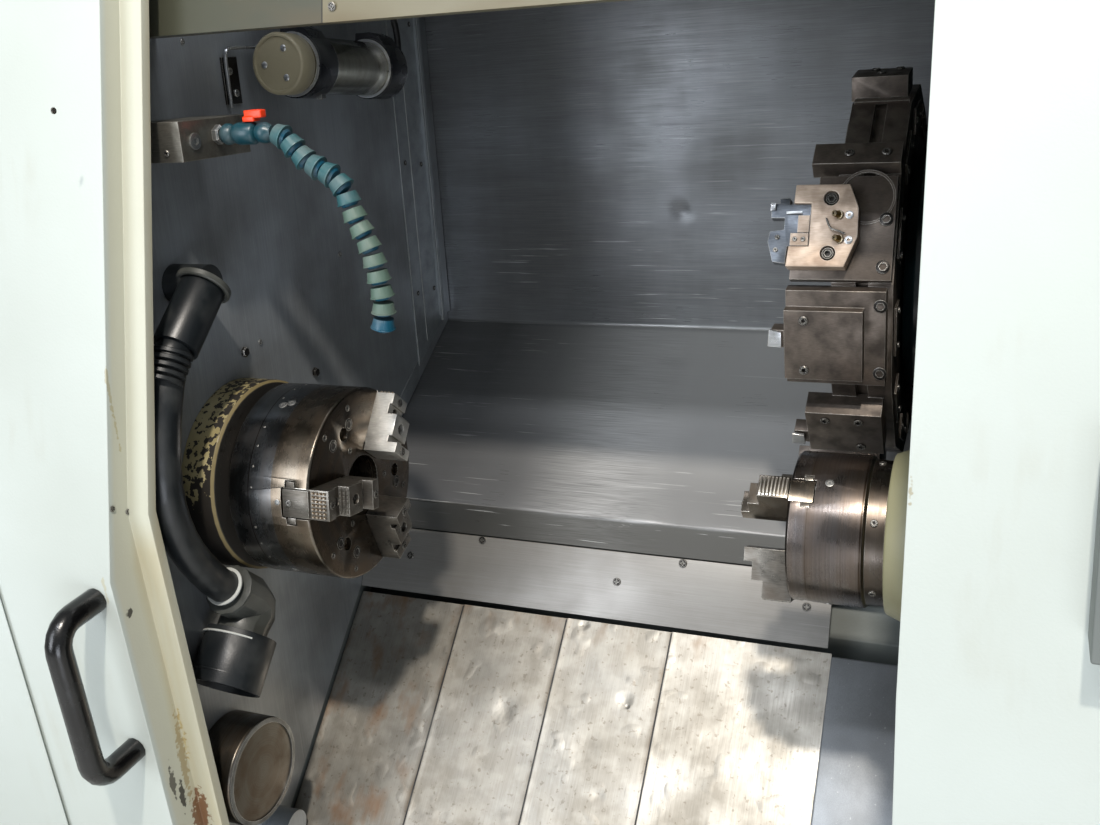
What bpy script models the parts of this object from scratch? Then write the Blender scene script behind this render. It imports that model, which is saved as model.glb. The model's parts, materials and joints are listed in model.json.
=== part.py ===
"""Two-spindle turning lathe with a rear turret, shown with its front door slid open.

Lengths are in metres.  The drawing frame has its origin where the main spindle axis meets
the main chuck's face: +X runs towards the sub spindle, +Y away from the operator, +Z up.
Objects are placed through at(), which moves that frame so that the finished machine has its
origin at the middle of its base.
"""
import math

import bmesh
import bpy
from mathutils import Matrix, Vector

GAP = 0.0003                 # seat between pieces that touch
FIT = 0.0005                 # seat between sheet-metal pieces

# Whole machine, measured from the main chuck's face and the spindle axis
LEFT_END = -1.27
RIGHT_END = 2.00
FRONT = -0.30                # front face of the door at its crease
REAR_ROOM = 0.30             # bed to the rear cover's outer face
TOP = 0.85
SPINDLE_HEIGHT = 1.05        # spindle axis above the shop floor
CREASE_Z = -0.024            # above this height the front leans back
LEAN = math.radians(12.5)
LOW_LEAN = math.radians(4.0)  # below the crease the front leans in towards the floor
SHEET = 0.002
PANEL = 0.003
SKIRT_CLEAR = 0.07           # end covers stop this far above the floor

# Door and its handle
DOOR_EDGE_X = -0.16
DOOR_LENGTH = 1.05
DOOR_BOTTOM = -0.60
DOOR_TOP = 0.83
DOOR_RETURN_LOW = 0.050
DOOR_RETURN_HIGH = 0.031
DOOR_LIP = 0.030
DOOR_LIP_RETURN = 0.014
DOOR_BEND_Z = 0.045
WINDOW_LOW_X = -1.02
WINDOW_HIGH_X = -0.46
WINDOW_LOW_Z = 0.06
WINDOW_HIGH_Z = 0.60
PANE_THICK = 0.006
PANE_MARGIN = 0.025
HANDLE_X = -0.187
HANDLE_HIGH_Z = -0.049
HANDLE_LOW_Z = -0.260
HANDLE_REACH = 0.0685
HANDLE_R = 0.015

# Front covers, header and operator panel
LEFT_COVER_EDGE = -0.341
RIGHT_COVER_EDGE = 0.710
COVER_PROUD = 0.005
HEADER_LOW_Z = 0.572
HEADER_BACK = 0.075          # header face behind the front face
HEADER_DEEP = 0.050
HEADER_RIGHT = 1.30
KEY_PANEL_X = 0.855
KEY_PANEL_LONG = 0.44
KEY_PANEL_LOW_Z = 0.050
KEY_PANEL_HIGH_Z = 0.205
KEY_PANEL_THICK = 0.045
SCREEN_X = 1.36
SCREEN_LONG = 0.42
SCREEN_LOW_Z = 0.03
SCREEN_HIGH_Z = 0.46
SCREEN_THICK = 0.055
STOP_R = 0.020
STOP_RISE = 0.022
STOP_STROKE = 0.005
STOP_STEM_R = 0.009
DIAL_R = 0.024
DIAL_RISE = 0.018

# Bed, with a front slope for the sub spindle and a rear slope for the turret carriage
BED_LEFT = -0.84
BED_RIGHT = 1.62
BED_BOTTOM = -1.00
BED_FRONT = -0.10
BASE_LEFT = -1.24
BASE_STEP_Z = -0.80
FLOOR_SLOPE = math.radians(43.7)
FLOOR_TOP_Y = 0.250
FLOOR_TOP_Z = -0.298
SADDLE_THICK = 0.107         # floor plane to bed slope
REAR_SLOPE = math.radians(32.0)
REAR_FOOT_Y = 0.31
REAR_FOOT_Z = -0.31
REAR_RUN = 0.80              # length of the rear slope
BED_CREST = 0.1316           # flat top behind the rear slope
BED_REAR = REAR_FOOT_Y + REAR_RUN * math.cos(REAR_SLOPE) + BED_CREST
WAY_WIDE = 0.055
WAY_HIGH = 0.020
FOOT_R = 0.05
FOOT_INSET = 0.09            # levelling feet in from the bed's edges
TRAY_TOP_Z = -0.70
TRAY_WALL = 0.003

# Sheets of the working chamber
WALL_X = -0.190
WALL_RIGHT_X = 1.50
BACK_Y = 0.64
BACK_TOP_Z = 0.70
SHIELD_LIFT = 0.1442         # slanted cover above the bed's rear slope
SHIELD_LEFT = -0.32
SHIELD_RIGHT = 0.66
SHIELD_THICK = 0.0025
SHIELD_FRONT_Y = 0.294
SHIELD_FLANGE = 0.050
STRIP_RIGHT = 0.572
COVER_SEAMS = (-0.1895, 0.000, 0.178, 0.346, 0.578)
COVER_LAP = 0.062
COVER_LONG = 0.50

# Main spindle
CHUCK_R = 0.127
CHUCK_LONG = 0.120
CHUCK_BORE = 0.0375
NOSE_R = 0.100
NOSE_RING_R = 0.130
NOSE_RING_FRONT = -0.140
SPINDLE_R = 0.085
SPINDLE_REAR = -1.200
PULLEY_R = 0.115
PULLEY_LEFT = -0.985
PULLEY_WIDE = 0.090
HEAD_LEFT = -0.800
HEAD_HALF = 0.200
MOTOR_Y = 0.42
MOTOR_Z = -0.30
MOTOR_R = 0.125
MOTOR_PULLEY_R = 0.065
BELT_THICK = 0.008
JAW_ANGLE = 8.0
JAW_WIDE = 0.038
JAW_STROKE = 0.0044

# Sub spindle
SUB_FACE = 0.573
SUB_R = 0.0845
SUB_LONG = 0.082
SUB_BORE = 0.022
SUB_HEAD_LEFT = 0.675
SUB_HEAD_RIGHT = 1.340
SUB_HEAD_R = 0.100
SUB_JAW_ANGLE = 50.0
SUB_JAW_WIDE = 0.026
SADDLE_LEFT = 0.5783
SADDLE_RIGHT = 1.380
SADDLE_PROUD = 0.004
SADDLE_NEAR = 0.008          # saddle from the top of the floor slope
SADDLE_FAR = 0.460
SUB_FOOT_NEAR = 0.03         # foot of the sub spindle head, down the same slope
SUB_FOOT_FAR = 0.34

# Turret
TURRET_REACH = 0.425         # turret axis to spindle axis
TURRET_SLOPE = math.radians(31.0)
TURRET_SIDES = 12
TURRET_APOTHEM = 0.236
TURRET_LEFT = 0.587
TURRET_WIDE = 0.070
TURRET_TURN = 23.0           # lift of the station that carries the tan block
HOUSING_R = 0.170
HOUSING_LONG = 0.290
CARRIAGE_LEFT = 0.600
CARRIAGE_RIGHT = 1.160
CARRIAGE_NEAR = 0.078        # carriage along the bed's rear slope
CARRIAGE_FAR = REAR_RUN - 0.04
UPRIGHT_THICK = 0.045
INDEX_MOTOR_R = 0.085
INDEX_MOTOR_LONG = 0.120
SLIDE_NEAR = 0.185           # cross slide foot along the same slope
SLIDE_FAR = 0.460
SLIDE_THICK = 0.10
SLIDE_HIGH = 0.34
TURRET_HUB_R = 0.060

# Lamp on the left wall
LAMP_X = -0.130
LAMP_FRONT_Y = 0.112
LAMP_Z = 0.536
LAMP_LONG = 0.285
LAMP_DROP = math.radians(3.4)
LAMP_R = 0.040
LAMP_CAP_LONG = 0.034

# Coolant block, valve and jointed hose
BLOCK_FACE_X = -0.110
BLOCK_FRONT_Y = -0.123
BLOCK_LONG = 0.128
BLOCK_LOW_Z = 0.432
BLOCK_HIGH = 0.045
VALVE_Y = -0.056
VALVE_Z = 0.458
VALVE_R = 0.0125
VALVE_LONG = 0.080
LEVER_X = -0.058
HOSE_R = 0.0135
HOSE_ROUTE = ((-0.008, 0.446), (0.013, 0.423), (0.054, 0.399), (0.068, 0.360),
              (0.085, 0.322), (0.092, 0.285), (0.095, 0.255), (0.090, 0.222))
HOSE_SEGMENTS = 14
HOSE_LEAD = 0.009            # straight length where the hose leaves the valve

# Black suction duct and the round cover under it
DUCT_X = -0.145
DUCT_R = 0.022
DUCT_ROUTE = ((-0.148, 0.216), (-0.160, 0.205), (-0.184, 0.150), (-0.200, 0.088),
              (-0.203, 0.030), (-0.186, -0.030), (-0.150, -0.086), (-0.122, -0.116))
DUCT_SLEEVE_TOP = (-0.078, 0.280)
DUCT_SLEEVE_END = (-0.1475, 0.2165)
DUCT_ELBOW_R = 0.034
DUCT_CORNER = (-0.058, -0.166)
DUCT_COLLAR_TOP = (-0.112, -0.187)
DUCT_COLLAR_END = (-0.162, -0.240)
DUCT_COLLAR_R = 0.047
ROUND_COVER_Y = -0.128
ROUND_COVER_Z = -0.387
ROUND_COVER_R = 0.073
ROUND_COVER_FACE = -0.130

DRAIN_Y = -0.046             # round drain boss low on the left wall
DRAIN_Z = -0.545
DRAIN_R = 0.025

WORLD_X = -(LEFT_END + RIGHT_END) / 2
HANDLE_BEND = 0.030
GRIP_TOP_Z = HANDLE_HIGH_Z - HANDLE_BEND
FRONT_MOST = FRONT + (CREASE_Z - GRIP_TOP_Z) * math.tan(LOW_LEAN) - HANDLE_REACH - HANDLE_R
REAR = BED_REAR + REAR_ROOM
WORLD_Y = -(FRONT_MOST + REAR) / 2
WORLD_Z = SPINDLE_HEIGHT


def at(x, y, z):
    """A point of the drawing frame in world coordinates."""
    return Vector((x + WORLD_X, y + WORLD_Y, z + WORLD_Z))


def clear_scene():
    for old in list(bpy.data.objects):
        bpy.data.objects.remove(old, do_unlink=True)


clear_scene()
PARTS = bpy.data.collections.new("turning_lathe")
CUTTERS = bpy.data.collections.new("cutters")
bpy.context.scene.collection.children.link(PARTS)
bpy.context.scene.collection.children.link(CUTTERS)


def paint(name, rgb, roughness, metallic):
    """A Principled material with one colour."""
    made = bpy.data.materials.new(name)
    made.use_nodes = True
    shader = made.node_tree.nodes["Principled BSDF"]
    shader.inputs["Base Color"].default_value = (*rgb, 1.0)
    shader.inputs["Roughness"].default_value = roughness
    shader.inputs["Metallic"].default_value = metallic
    return made


CREAM = paint("cream_enamel", (0.72, 0.74, 0.66), 0.45, 0.0)
KHAKI = paint("khaki_enamel", (0.45, 0.42, 0.30), 0.50, 0.0)
CASTING = paint("painted_casting", (0.30, 0.33, 0.32), 0.60, 0.0)
TEAL = paint("dark_teal_enamel", (0.05, 0.11, 0.12), 0.40, 0.0)
SHEET_STEEL = paint("brushed_sheet", (0.30, 0.31, 0.31), 0.42, 1.0)
BRIGHT_STEEL = paint("ground_steel", (0.50, 0.49, 0.46), 0.30, 1.0)
DARK_STEEL = paint("dark_steel", (0.16, 0.15, 0.14), 0.40, 1.0)
TAN_STEEL = paint("tan_steel", (0.55, 0.42, 0.30), 0.40, 0.9)
CARBIDE_GREY = paint("grey_steel", (0.35, 0.36, 0.40), 0.40, 0.8)
RUBBER = paint("black_rubber", (0.02, 0.02, 0.022), 0.55, 0.0)
BLACK = paint("black_plastic", (0.015, 0.015, 0.016), 0.35, 0.0)
BLUE = paint("blue_plastic", (0.03, 0.20, 0.30), 0.45, 0.0)
ORANGE = paint("orange_plastic", (0.80, 0.10, 0.03), 0.45, 0.0)
RED = paint("red_plastic", (0.60, 0.02, 0.02), 0.40, 0.0)
CLEAR = paint("clear_glass", (0.75, 0.80, 0.78), 0.10, 0.0)


def add(name, mesh, place, material, turn=None):
    """Link a mesh as a named part at a world place."""
    piece = bpy.data.objects.new(name, mesh)
    mesh.materials.append(material)
    PARTS.objects.link(piece)
    piece.location = place
    if turn is not None:
        piece.rotation_euler = turn
    return piece


def hide_as_cutter(piece):
    """Move a body to the cutters, where it only shapes other pieces."""
    PARTS.objects.unlink(piece)
    CUTTERS.objects.link(piece)
    piece.hide_render = True
    piece.display_type = "WIRE"
    return piece


def shape(piece, tool, operation):
    """Cut or join one body with another."""
    hide_as_cutter(tool)
    step = piece.modifiers.new(operation.lower(), "BOOLEAN")
    step.operation = operation
    step.solver = "EXACT"
    step.object = tool
    return piece


def cut(piece, tool):
    return shape(piece, tool, "DIFFERENCE")


def join(piece, tool):
    return shape(piece, tool, "UNION")


def soften(piece, width, segments=2):
    """Round the edges of a piece."""
    step = piece.modifiers.new("rounded_edges", "BEVEL")
    step.width = width
    step.segments = segments
    step.limit_method = "ANGLE"
    return piece


def smooth(piece):
    piece.data.shade_smooth()
    piece.data.set_sharp_from_angle(angle=math.radians(35))
    return piece


def block(name, low, high, material, turn=None):
    """A rectangular block between two corners of the drawing frame."""
    low = Vector(low)
    high = Vector(high)
    mesh = bpy.data.meshes.new(name)
    body = bmesh.new()
    bmesh.ops.create_cube(body, size=1.0)
    bmesh.ops.scale(body, vec=high - low, verts=body.verts)
    body.to_mesh(mesh)
    body.free()
    return add(name, mesh, at(*((low + high) / 2)), material, turn)


def solid_from_curve(curve_object, material):
    """Replace a curve object with its closed mesh, in the same place."""
    bpy.context.view_layer.update()
    graph = bpy.context.evaluated_depsgraph_get()
    mesh = bpy.data.meshes.new_from_object(curve_object.evaluated_get(graph))
    body = bmesh.new()
    body.from_mesh(mesh)
    bmesh.ops.remove_doubles(body, verts=body.verts, dist=0.00001)
    bmesh.ops.recalc_face_normals(body, faces=body.faces)
    body.to_mesh(mesh)
    body.free()
    mesh.materials.clear()
    name = curve_object.name
    place = curve_object.matrix_world.copy()
    bpy.data.objects.remove(curve_object, do_unlink=True)
    piece = add(name, mesh, (0, 0, 0), material)
    piece.name = name
    piece.matrix_world = place
    return piece


ALONG_X = (math.radians(90), 0, math.radians(90))
ALONG_Y = (math.radians(90), 0, 0)


def plate(name, outlines, thickness, centre, turn, material):
    """A flat outline, with any holes, given a thickness along its own normal."""
    curve = bpy.data.curves.new(name, "CURVE")
    curve.dimensions = "2D"
    curve.fill_mode = "BOTH"
    curve.extrude = thickness / 2
    for outline in outlines:
        spline = curve.splines.new("POLY")
        spline.points.add(len(outline) - 1)
        for point, (u, v) in zip(spline.points, outline):
            point.co = (u, v, 0, 1)
        spline.use_cyclic_u = True
    piece = bpy.data.objects.new(name, curve)
    PARTS.objects.link(piece)
    piece.location = centre
    piece.rotation_euler = turn
    return solid_from_curve(piece, material)


def beam(name, outlines, left, right, material, origin=(0.0, 0.0)):
    """A YZ outline drawn out along X, from left to right, about a chosen origin."""
    moved = [[(y - origin[0], z - origin[1]) for y, z in outline] for outline in outlines]
    centre = at((left + right) / 2, *origin)
    return plate(name, moved, right - left, centre, ALONG_X, material)


def ring_points(radius, count, centre=(0.0, 0.0), start=0.0):
    """Points of a circle, for an outline or a hole."""
    points = []
    for i in range(count):
        angle = start + 2 * math.pi * i / count
        points.append((centre[0] + radius * math.cos(angle), centre[1] + radius * math.sin(angle)))
    return points


def turned(name, profile, place, turn, material, steps=32):
    """A profile of (radius, height) points, top to bottom, turned about its own Z axis."""
    mesh = bpy.data.meshes.new(name)
    closed = profile[0][0] > 0
    count = len(profile)
    edges = [(i, i + 1) for i in range(count - 1)]
    if closed:
        edges.append((count - 1, 0))
    mesh.from_pydata([(r, 0, h) for r, h in profile], edges, [])
    piece = add(name, mesh, place, material, turn)
    step = piece.modifiers.new("turned", "SCREW")
    step.angle = 2 * math.pi
    step.steps = steps
    step.render_steps = steps
    step.use_merge_vertices = True
    step.merge_threshold = 0.00001
    return piece


TURN_TO_X = (0, math.radians(90), 0)


def turned_on_x(name, profile, x, y, z, material, steps=32):
    """A turned piece whose axis runs along +X; profile heights are X distances from x."""
    return turned(name, profile, at(x, y, z), TURN_TO_X, material, steps)


def rod(name, start, end, radius, material, steps=24):
    """A round bar between two points of the drawing frame."""
    a = at(*start)
    b = at(*end)
    length = (b - a).length
    mesh = bpy.data.meshes.new(name)
    body = bmesh.new()
    bmesh.ops.create_cone(body, cap_ends=True, segments=steps, radius1=radius,
                          radius2=radius, depth=length)
    body.to_mesh(mesh)
    body.free()
    piece = add(name, mesh, (a + b) / 2, material)
    piece.rotation_euler = (b - a).to_track_quat("Z", "Y").to_euler()
    return piece


def smooth_route(points, count):
    """Evenly spread points on a Catmull-Rom curve through the given ones."""
    ends = [points[0] * 2 - points[1]] + list(points) + [points[-1] * 2 - points[-2]]
    fine = []
    for i in range(1, len(ends) - 2):
        p0, p1, p2, p3 = ends[i - 1:i + 3]
        for k in range(16):
            t = k / 16
            fine.append(0.5 * (2 * p1 + (p2 - p0) * t + (2 * p0 - 5 * p1 + 4 * p2 - p3) * t ** 2
                               + (3 * p1 - p0 - 3 * p2 + p3) * t ** 3))
    fine.append(points[-1])
    travelled = [0.0]
    for a, b in zip(fine, fine[1:]):
        travelled.append(travelled[-1] + (b - a).length)
    route = []
    k = 0
    for i in range(count):
        goal = travelled[-1] * i / (count - 1)
        while k < len(fine) - 2 and travelled[k + 1] < goal:
            k += 1
        span = travelled[k + 1] - travelled[k]
        share = 0 if span == 0 else (goal - travelled[k]) / span
        route.append(fine[k].lerp(fine[k + 1], share))
    return route


def pipe(name, points, radius, material, place=None, radii=None, sides=3):
    """A round tube along world points; radii scale it from point to point."""
    place = place if place is not None else points[0]
    curve = bpy.data.curves.new(name, "CURVE")
    curve.dimensions = "3D"
    curve.bevel_depth = radius
    curve.bevel_resolution = sides
    curve.use_fill_caps = True
    spline = curve.splines.new("POLY")
    spline.points.add(len(points) - 1)
    for i, point in enumerate(points):
        spline.points[i].co = (*(point - place), 1)
        spline.points[i].radius = 1.0 if radii is None else radii[i]
    piece = bpy.data.objects.new(name, curve)
    PARTS.objects.link(piece)
    piece.location = place
    return solid_from_curve(piece, material)


def front_y(z):
    """The machine's front face at a height: it leans back both ways from the crease."""
    if z > CREASE_Z:
        return FRONT + (z - CREASE_Z) * math.tan(LEAN)
    return FRONT + (CREASE_Z - z) * math.tan(LOW_LEAN)


def floor_point(down, lift):
    """A point in the YZ plane, down the chamber floor's slope and lifted off it."""
    y = FLOOR_TOP_Y - down * math.cos(FLOOR_SLOPE) - lift * math.sin(FLOOR_SLOPE)
    z = FLOOR_TOP_Z - down * math.sin(FLOOR_SLOPE) + lift * math.cos(FLOOR_SLOPE)
    return (y, z)


def rear_point(up, lift):
    """A point in the YZ plane, up the bed's rear slope and lifted off it."""
    y = REAR_FOOT_Y + up * math.cos(REAR_SLOPE) - lift * math.sin(REAR_SLOPE)
    z = REAR_FOOT_Z + up * math.sin(REAR_SLOPE) + lift * math.cos(REAR_SLOPE)
    return (y, z)


def front_sheet_outline(low, high, proud, thick):
    """The bent outline of a front sheet between two heights."""
    heights = [low, CREASE_Z, high]
    if low >= CREASE_Z:
        heights = [low, high]
    outer = [(front_y(z) - proud, z) for z in heights]
    inner = [(front_y(z) - proud + thick, z) for z in reversed(heights)]
    return outer + inner


# Base and bed

def way_bumps(point, positions):
    """Outline points of raised guide ways along a slope."""
    found = []
    for s in positions:
        found += [point(s, 0), point(s, WAY_HIGH), point(s + WAY_WIDE, WAY_HIGH),
                  point(s + WAY_WIDE, 0)]
    return found


FRONT_WAYS = (0.06, 0.33)
REAR_WAYS = (0.10, REAR_RUN - 0.18)


def bed():
    """The cast bed: one section for both slopes, standing on six levelling feet."""
    def front_slope(down, lift):
        return floor_point(down, lift - SADDLE_THICK)

    slope_end = (FLOOR_TOP_Y - BED_FRONT) / math.cos(FLOOR_SLOPE)
    outline = [(BED_FRONT, BED_BOTTOM)]
    toe = front_slope(slope_end, 0)
    outline.append((BED_FRONT, toe[1] - 0.08))
    ways = way_bumps(front_slope, FRONT_WAYS)
    outline += list(reversed(ways))
    head = front_slope(0, 0)
    outline += [(REAR_FOOT_Y, head[1]), (REAR_FOOT_Y, REAR_FOOT_Z)]
    outline += way_bumps(rear_point, REAR_WAYS)
    crest = rear_point(REAR_RUN, 0)
    outline += [crest, (BED_REAR, crest[1]), (BED_REAR, BED_BOTTOM)]
    piece = beam("bed", [outline], BED_LEFT, BED_RIGHT, CASTING)
    step = block("bed_step", (BASE_LEFT, BED_FRONT, BED_BOTTOM),
                 (BED_LEFT + 0.01, BED_REAR, BASE_STEP_Z), CASTING)
    join(piece, step)
    for x in (BASE_LEFT + FOOT_INSET, (BASE_LEFT + BED_RIGHT) / 2, BED_RIGHT - FOOT_INSET):
        for y in (BED_FRONT + FOOT_INSET, BED_REAR - FOOT_INSET):
            foot = rod("foot", (x, y, -SPINDLE_HEIGHT), (x, y, BED_BOTTOM + 0.01), FOOT_R,
                       CASTING, 20)
            join(piece, foot)
    return piece


def chip_tray():
    """The open coolant and chip tray that stands on the floor in front of the bed."""
    wall = TRAY_WALL
    low = (BED_LEFT, front_y(DOOR_BOTTOM) + 0.035, -SPINDLE_HEIGHT)
    high = (BED_RIGHT, BED_FRONT - GAP, TRAY_TOP_Z)
    piece = block("chip_tray", low, high, TEAL)
    inner_low = (low[0] + wall, low[1] + wall, low[2] + wall)
    inner_high = (high[0] - wall, high[1] - wall, high[2] + 0.05)
    return cut(piece, block("tray_hollow", inner_low, inner_high, TEAL))


# Outer covers

def front_apron():
    """The lower front sheet, folded back at the top as the door's sill."""
    face = front_y(DOOR_BOTTOM) - COVER_PROUD
    sill = DOOR_BOTTOM - FIT
    low = -SPINDLE_HEIGHT + SKIRT_CLEAR
    deep = 0.070
    outline = [(face, low), (face, sill), (face + deep, sill), (face + deep, sill - SHEET),
               (face + SHEET, sill - SHEET), (face + SHEET, low)]
    return beam("front_apron", [outline], LEFT_END + PANEL + FIT, RIGHT_END - PANEL - FIT, CREAM)


def front_covers():
    """The fixed front sheets on both sides of the door opening."""
    top = TOP - PANEL - FIT
    left = front_sheet_outline(DOOR_BOTTOM, top, COVER_PROUD, SHEET)
    beam("front_cover_left", [left], LEFT_END + PANEL + FIT, LEFT_COVER_EDGE, CREAM)
    right = front_sheet_outline(DOOR_BOTTOM, top, 0.0, SHEET)
    beam("front_cover_right", [right], RIGHT_COVER_EDGE, RIGHT_END - PANEL - FIT, CREAM)


def end_covers():
    """The flat side sheets, cut to the front profile."""
    low = -SPINDLE_HEIGHT + SKIRT_CLEAR
    high = TOP - PANEL - FIT
    foot_y = front_y(DOOR_BOTTOM) - COVER_PROUD
    outline = [(foot_y, low), (foot_y, DOOR_BOTTOM), (FRONT - COVER_PROUD, CREASE_Z),
               (front_y(high) - COVER_PROUD, high), (REAR, high), (REAR, low)]
    beam("end_cover_left", [outline], LEFT_END, LEFT_END + PANEL, CREAM)
    beam("end_cover_right", [outline], RIGHT_END - PANEL, RIGHT_END, CREAM)


def rear_cover():
    """The rear sheet, with two banks of cooling slots."""
    low = -SPINDLE_HEIGHT + SKIRT_CLEAR
    high = TOP - PANEL - FIT
    half = (RIGHT_END - LEFT_END) / 2 - PANEL - FIT
    centre_z = (low + high) / 2
    outlines = [[(-half, low - centre_z), (half, low - centre_z), (half, high - centre_z),
                 (-half, high - centre_z)]]
    slot_long = 0.32
    slot_high = 0.012
    pitch = 0.035
    for middle in (-half + 0.45, half - 0.45):
        for i in range(8):
            z = -0.35 + i * pitch
            outlines.append([(middle - slot_long / 2, z), (middle + slot_long / 2, z),
                             (middle + slot_long / 2, z + slot_high),
                             (middle - slot_long / 2, z + slot_high)])
    centre = at((LEFT_END + RIGHT_END) / 2, REAR - PANEL / 2, centre_z)
    return plate("rear_cover", outlines, PANEL, centre, ALONG_Y, CREAM)


def roof_cover():
    """The roof sheet over everything."""
    front = front_y(TOP) - COVER_PROUD
    return block("roof_cover", (LEFT_END, front, TOP - PANEL), (RIGHT_END, REAR, TOP), CREAM)


def door_header():
    """The folded beam above the door opening, behind the door."""
    high = TOP - PANEL - FIT

    def face(z):
        return front_y(z) + HEADER_BACK

    low = HEADER_LOW_Z
    outline = [(face(low), low), (face(high), high), (face(high) + SHEET, high),
               (face(low + SHEET) + SHEET, low + SHEET),
               (face(low) + HEADER_DEEP, low + SHEET), (face(low) + HEADER_DEEP, low)]
    return beam("door_header", [outline], WALL_X + FIT, HEADER_RIGHT, KHAKI)


# Door

def door_section(z):
    """The door's plan outline at a height: face, closing return, lip and its return."""
    y = front_y(z)
    back = DOOR_RETURN_LOW if z < DOOR_BEND_Z else DOOR_RETURN_HIGH
    left = DOOR_EDGE_X - DOOR_LENGTH
    edge = DOOR_EDGE_X
    lip = edge + DOOR_LIP
    t = SHEET
    return [(left, y), (edge, y), (edge, y + back), (lip, y + back),
            (lip, y + back + DOOR_LIP_RETURN), (lip - t, y + back + DOOR_LIP_RETURN),
            (lip - t, y + back + t), (edge - t, y + back + t), (edge - t, y + t),
            (left + t, y + t), (left + t, y + back), (left, y + back)]


def lofted(name, sections, place, material):
    """A closed body through like sections stacked in height; each is a list of points."""
    mesh = bpy.data.meshes.new(name)
    body = bmesh.new()
    rows = [[body.verts.new(point - place) for point in section] for section in sections]
    count = len(rows[0])
    for lower, upper in zip(rows, rows[1:]):
        for i in range(count):
            j = (i + 1) % count
            body.faces.new((lower[i], lower[j], upper[j], upper[i]))
    body.faces.new(list(reversed(rows[0])))
    body.faces.new(rows[-1])
    bmesh.ops.recalc_face_normals(body, faces=body.faces)
    body.to_mesh(mesh)
    body.free()
    return add(name, mesh, place, material)


def door():
    """The sliding door: a folded sheet with a window cut through its upper half."""
    heights = (DOOR_BOTTOM, CREASE_Z, DOOR_BEND_Z, DOOR_TOP)
    sections = [[at(x, y, z) for x, y in door_section(z)] for z in heights]
    place = at(DOOR_EDGE_X, FRONT, CREASE_Z)
    piece = lofted("door", sections, place, CREAM)
    hole = block("window_hole", (WINDOW_LOW_X, FRONT - 0.05, WINDOW_LOW_Z),
                 (WINDOW_HIGH_X, FRONT + 0.25, WINDOW_HIGH_Z), CREAM)
    return cut(piece, hole)


def door_window():
    """The pane, held behind the door's sheet."""
    low = WINDOW_LOW_Z - PANE_MARGIN
    high = WINDOW_HIGH_Z + PANE_MARGIN
    seat = SHEET + GAP
    outline = [(front_y(low) + seat, low), (front_y(high) + seat, high),
               (front_y(high) + seat + PANE_THICK, high), (front_y(low) + seat + PANE_THICK, low)]
    return beam("door_window", [outline], WINDOW_LOW_X - PANE_MARGIN,
                WINDOW_HIGH_X + PANE_MARGIN, CLEAR)


def door_handle():
    """The bow handle: a bent round bar with its legs square to the door."""
    bend = HANDLE_BEND
    length = (HANDLE_HIGH_Z - HANDLE_LOW_Z) / math.cos(LOW_LEAN)
    seat = GAP * 2
    path = [(0, -seat), (0, bend - HANDLE_REACH)]
    for i in range(1, 6):
        a = math.pi / 2 * i / 5
        path.append((bend * (1 - math.cos(a)), bend - HANDLE_REACH - bend * math.sin(a)))
    path += [(length - down, out) for down, out in reversed(path)]
    top = at(HANDLE_X, front_y(HANDLE_HIGH_Z), HANDLE_HIGH_Z)
    along = Vector((0, math.sin(LOW_LEAN), -math.cos(LOW_LEAN)))
    outward = Vector((0, math.cos(LOW_LEAN), math.sin(LOW_LEAN)))
    points = [top + along * down + outward * out for down, out in path]
    return smooth(pipe("door_handle", points, HANDLE_R, BLACK, sides=4))


# Operator's controls on the right front cover

def panel_outline(low, high, thick):
    """A slab that follows the leaning front, seated on the right cover."""
    seat = GAP / math.cos(LEAN)
    return [(front_y(low) - thick, low), (front_y(high) - thick, high),
            (front_y(high) - seat, high), (front_y(low) - seat, low)]


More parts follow.
